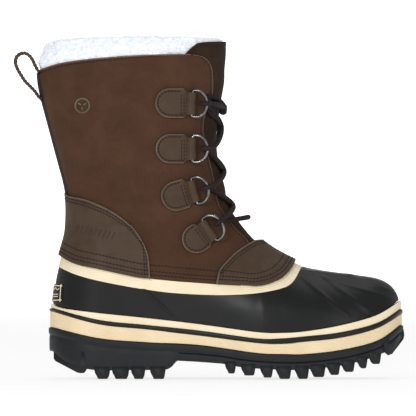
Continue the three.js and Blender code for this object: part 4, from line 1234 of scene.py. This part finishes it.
FRAMES = [{side: RingFrame(spot, side) for side in (LATERAL, MEDIAL)} for spot in RINGS]
for k, pair in enumerate(FRAMES):
    for side, place in pair.items():
        label = SIDE_NAMES[side] + "_" + str(k + 1)
        tab_visual(label, place, TAB_LENGTH[k])
        ring_visual(label, place)

# ---------------------------------------------------------------- lace
LACE_PLAY = 2.0
LACE_TURN = WIRE / 2 + LACE_PLAY + LACE / 2
KNOT_Z = 240.0
TIP_LIFT = BAR_LIFT + RING_LIFT


def under(k, s):
    return FRAMES[k][s].point(RING_REACH + 1.2, 0, TIP_LIFT - LACE_TURN)


def inside(k, s):
    return FRAMES[k][s].point(RING_REACH - LACE_TURN, 0.5, TIP_LIFT)


def over(k, s):
    return FRAMES[k][s].point(RING_REACH + 1.5, 1, TIP_LIFT + LACE_TURN)


_rising = FRONT_LINE[FRONT_LINE[:, 0] < TOE_START]
_front_by_height = (_rising[:, 1], _rising[:, 0])


def crossing(lower, high):
    """Where two runs of lace cross over the tongue, between a ring and the one above."""
    z = (RINGS[lower][1] + RINGS[lower - 1][1]) / 2 + (6 if lower == 3 else 0)
    front = np.interp(z, *_front_by_height)
    return np.array([front + (1.7 if high else -0.5), 0, z])


def centripetal(points, spacing=0.55):
    """Evenly spaced points on the centripetal curve through the given ones."""
    p = np.asarray(points, float)
    p = np.vstack([2 * p[0] - p[1], p, 2 * p[-1] - p[-2]])
    out = []
    for i in range(1, len(p) - 2):
        level = list(p[i - 1:i + 3])
        knots = np.concatenate([[0.0], np.cumsum(np.linalg.norm(np.diff(level, axis=0), axis=1) ** 0.5)])
        t = np.linspace(knots[1], knots[2], 40, endpoint=False)[:, None]
        for gap in (1, 2):
            ends = [(knots[k], knots[k + gap]) for k in range(4 - gap)]
            level = [(t1 - t) / (t1 - t0) * level[k] + (t - t0) / (t1 - t0) * level[k + 1]
                     for k, (t0, t1) in enumerate(ends)]
        share = (t - knots[1]) / (knots[2] - knots[1])
        out.append((1 - share) * level[0] + share * level[1])
    out = np.vstack(out + [p[-2:-1]])
    length = np.linalg.norm(np.diff(out, axis=0), axis=1).sum()
    return even(out, int(length / spacing))


def braid(angle, run):
    """Plaited yarn: two sets of crossing ridges."""
    turn = 2 * np.pi * run / 8.5
    return 0.2 * np.maximum(np.cos(4 * angle + 4 * turn), np.cos(4 * angle - 4 * turn)) - 0.08


def lace_route():
    def knot_side(s):
        return np.array([14, s * 8.6, KNOT_Z])

    route = [knot_side(LATERAL)]
    for k in range(4):
        s = LATERAL if k % 2 == 0 else MEDIAL
        route += [over(k, s), inside(k, s), under(k, s)]
        if k < 3:
            route.append(crossing(k + 1, k == 1))
    route += [np.array([32.5, 12, 142]), np.array([32.5, -12, 142])]
    for k in (3, 2, 1, 0):
        s = MEDIAL if k % 2 == 0 else LATERAL
        route += [under(k, s), inside(k, s), over(k, s)]
        if k > 0:
            route.append(crossing(k, k != 2))
    return route + [knot_side(MEDIAL)]


lace_line = centripetal(lace_route())
lace_tube = tube(lace_line, LACE / 2 - 0.05, 20, relief=braid)
add_piece("lace_visual", lace_tube, LACE_YARN, replaces=("lace",))


# How far ahead of and above the knot each bow's middle lies, its size, and its slope in degrees.
TUCKED_BOWS = [(5.6, 4.0, 8.2, -30), (2.2, -3.2, 6.6, -62)]


def knot_visual():
    """The tied part: a small overhand knot between two tucked bow ends."""
    t = np.linspace(0, 2 * np.pi, 220, endpoint=False)
    trefoil = np.stack([12.4 - 1.5 * np.sin(3 * t), 1.5 * (np.sin(t) + 2 * np.sin(2 * t)),
                        KNOT_Z - 1.8 + 1.1 * (np.cos(t) - 2 * np.cos(2 * t))], 1)
    parts = [tube(trefoil, LACE / 2 - 0.1, 18, closed=True, relief=braid)]
    angle = np.linspace(0, 2 * np.pi, 140, endpoint=False)
    for s, (ahead, up, size, slope) in itertools.product((LATERAL, MEDIAL), TUCKED_BOWS):
        reach, drop = size * np.cos(angle), 0.36 * size * np.sin(angle)
        tilt = math.radians(slope)
        x = ahead + reach * math.cos(tilt) - drop * math.sin(tilt)
        z = KNOT_Z + up + reach * math.sin(tilt) + drop * math.cos(tilt)
        bow = np.stack([x, s * (half_width(np.minimum(x, 9.0), z) + 1.2), z], 1)
        parts.append(tube(bow, LACE / 2 - 0.1, 18, closed=True, relief=braid))
    add_piece("knot_visual", merge(parts), LACE_YARN, replaces=("lace_knot",))


knot_visual()

# ---------------------------------------------------------------- pull loop, badge, pressed marks
LOOP = [(-150.4, 270.2), (-152.6, 274.2), (-154.2, 277.2), (-157, 283), (-161, 286.8), (-165, 287.5),
        (-169, 285.6), (-171.2, 281.8), (-170.6, 276), (-166.8, 268.8), (-162.8, 262.8), (-158, 257.9),
        (-154, 253.6), (-151.2, 249.6), (-148.2, 246.2)]
LOOP_HALF, LOOP_THICK = 8.0, 2.4


def loop_visual():
    line = even(catmull(LOOP, 400), 110)
    tangent = unit(np.gradient(line, axis=0))
    across = np.stack([tangent[:, 1], -tangent[:, 0]], 1)
    section = []
    for y, half in ((-1, 0.3), (-0.985, 0.75), (-0.94, 1), (-0.82, 0.98), (-0.76, 0.78), (-0.7, 0.98), (0, 1),
                    (0.7, 0.98), (0.76, 0.78), (0.82, 0.98), (0.94, 1), (0.985, 0.75), (1, 0.3)):
        section.append((y * LOOP_HALF, half * LOOP_THICK / 2))
    section = section + [(y, -h) for y, h in section[::-1]]
    rings = []
    for p, n in zip(line, across):
        rings.append(np.array([[p[0] + n[0] * h, y, p[1] + n[1] * h] for y, h in section]))
    add_piece("pull_loop_visual", lofted(rings), SMOOTH, "pull_loop", ("pull_loop",))
    rows = []
    for y in (-0.76, 0.76):
        for sign in (1, -1):
            flat = line + across * sign * LOOP_THICK / 2 * 0.86
            path = np.column_stack([flat[:, 0], np.full(len(flat), y * LOOP_HALF), flat[:, 1]])
            normals = np.column_stack([across[:, 0], 0 * across[:, 0], across[:, 1]]) * sign
            rows += stitches(path, normals, start=3)
    join_stitches("pull_loop_thread", rows, "pull_loop")


loop_visual()


def badge_visual():
    edges = {"bottom": Edge([(-138.2, 67.5), (-130, 68)], True), "top": Edge([(-136, 83), (-129, 83)], True),
             "left": stretch(BACK_LINE, (-138, 67.5), (-136, 83)),
             "right": Edge([(-130, 68), (-129, 83)], True)}
    patch = Patch(edges, back=True, around=40, up=30, low=(0, 0.3), high=(0, 0.3), first=(), last=(0, 0.3))
    border = patch.border("low", "high", "first", "last")
    offset = 1.1 - 0.7 * cut(border, 0.8)
    sheet("badge_visual", patch, offset, -0.2, SHELL, replaces=("heel_badge",))
    lines = []
    for end in ("low", "high", "first", "last"):
        lines.append(tube(patch.line(end, 1.3, offset)[0], 0.45, 8))
    for distance in (4.6, 6.6):
        lines.append(tube(patch.line("low", distance, offset)[0][8:-8], 0.35, 8))
    wave = patch.line("high", 4.0, offset)[0]
    wave[:, 2] += 0.9 * np.sin(np.linspace(0, 10 * np.pi, len(wave)))
    lines.append(tube(wave[6:-6], 0.35, 8))
    add_piece("badge_lines", merge(lines), CREAM)


badge_visual()


def spot_on(patch, offset, spots):
    """Points lying on a finished lateral panel at side-view places, with normals."""
    moved = patch.moved(offset)
    lateral = moved[..., 1] < 0
    flat, solid, normal = patch.flat[lateral], moved[lateral], patch.normals[lateral]
    points, normals = [], []
    for x, z in spots:
        near = int(np.argmin((flat[:, 0] - x) ** 2 + (flat[:, 1] - z) ** 2))
        shift = np.array([x - solid[near, 0], 0, z - solid[near, 2]])
        n = normal[near]
        shift[1] = -(shift[0] * n[0] + shift[2] * n[2]) / n[1]
        points.append(solid[near] + shift)
        normals.append(n)
    return np.array(points), np.array(normals)


def pressed_marks():
    """Plain pressed shapes where the real boot carries marks: a ring with spokes and a row of bars."""
    patch, offset = QUARTER[LATERAL]
    centre, radius = np.array([-111.5, 240.7]), 6.2
    turn = np.linspace(0, 2 * np.pi, 60, endpoint=False)
    ring = centre + radius * np.stack([np.cos(turn), np.sin(turn)], 1)
    mark = [tube(spot_on(patch, offset, ring)[0], 0.8, 8, closed=True)]
    for angle in (0.5, 2.6, 4.7):
        way = np.array([math.cos(angle), math.sin(angle)])
        spots = [centre + way * r for r in np.linspace(1.0, 4.2, 8)]
        mark.append(tube(spot_on(patch, offset, spots)[0], 0.8, 8))
    add_piece("round_mark", merge(mark), PRESSED)
    bars = []
    count = 9
    for i in range(count):
        t = i / (count - 1)
        x, z = -116.5 + 32.5 * t, 132.2 - 6.0 * t
        spots = [(x - 1.3 + 2.6 * u, z - 2.6 + 5.2 * u) for u in np.linspace(0, 1, 6)]
        bars.append(tube(spot_on(COUNTER, COUNTER_OFFSET, spots)[0], 0.6, 8))
    add_piece("counter_bars", merge(bars), PRESSED_DARK)


pressed_marks()


# ---------------------------------------------------------------- studio
def plain(name, colour, roughness=0.9):
    s = Surface(name, roughness=roughness, specular=0.1)
    s.colour(colour)
    return s.material


def staged_sheet(name, corners, material):
    mesh = bpy.data.meshes.new(name)
    mesh.from_pydata(corners, [], [(0, 1, 2, 3)])
    obj = bpy.data.objects.new(name, mesh)
    bpy.context.scene.collection.objects.link(obj)
    mesh.materials.append(material)


def glow(material, strength):
    """Makes a material give off white light."""
    inputs = material.node_tree.nodes["Principled BSDF"].inputs
    inputs["Emission Color"].default_value = (1, 1, 1, 1)
    inputs["Emission Strength"].default_value = strength


FLOOR_REACH = 5
GROUND = -0.0004
FLOOR = plain("studio_floor", (0.25, 0.25, 0.25, 1.0))
glow(FLOOR, 0.78)
floor_corners = [(x * FLOOR_REACH, y * FLOOR_REACH, GROUND) for x, y in ((-1, -1), (1, -1), (1, 1), (-1, 1))]
staged_sheet("floor", floor_corners, FLOOR)

GLOW = bpy.data.materials.new("backdrop_glow")
GLOW.use_nodes = True
glow(GLOW, 0.9)
staged_sheet("backdrop", [(-1.6, 4.9, GROUND), (1.6, 4.9, GROUND), (1.6, 4.9, 2), (-1.6, 4.9, 2)], GLOW)

scene = bpy.context.scene
scene.view_settings.view_transform = "Standard"
world = bpy.data.worlds.new("studio")
scene.world = world
world.use_nodes = True
world.node_tree.nodes["Background"].inputs["Color"].default_value = (1, 1, 1, 1)
world.node_tree.nodes["Background"].inputs["Strength"].default_value = 0.4


def area(name, place, size, energy, target=(0, 0, 0.13)):
    """A rectangular light aimed at the middle of the boot."""
    light = bpy.data.lights.new(name, "AREA")
    light.shape = "RECTANGLE"
    light.size, light.size_y = size
    light.energy = energy
    obj = bpy.data.objects.new(name, light)
    scene.collection.objects.link(obj)
    obj.location = place
    obj.rotation_euler = (Vector(target) - Vector(place)).to_track_quat("-Z", "Y").to_euler()


# Each light's place and size in metres, and its power in watts.
LIGHTS = {"key": ((-0.62, -1.97, 0.84), (0.6, 0.45), 14), "fill": ((1.3, -1.7, 0.6), (0.9, 1.1), 6),
          "top": ((0.1, 0.5, 2.2), (2.0, 1.4), 8)}
for name, light in LIGHTS.items():
    area(name, *light)

VIEW_WIDTH = 0.3682
DISTANCE = 7.0
SENSOR = 36
# The point of the side view that the camera faces.
VIEW_X, VIEW_Z = -0.9, 150.5
camera_data = bpy.data.cameras.new("camera")
camera_data.sensor_width = SENSOR
camera_data.lens = SENSOR * DISTANCE / VIEW_WIDTH
camera = bpy.data.objects.new("camera", camera_data)
scene.collection.objects.link(camera)
camera.location = (VIEW_X * MM + ORIGIN[0], -DISTANCE, VIEW_Z * MM)
camera.rotation_euler = (math.pi / 2, 0, 0)
scene.camera = camera
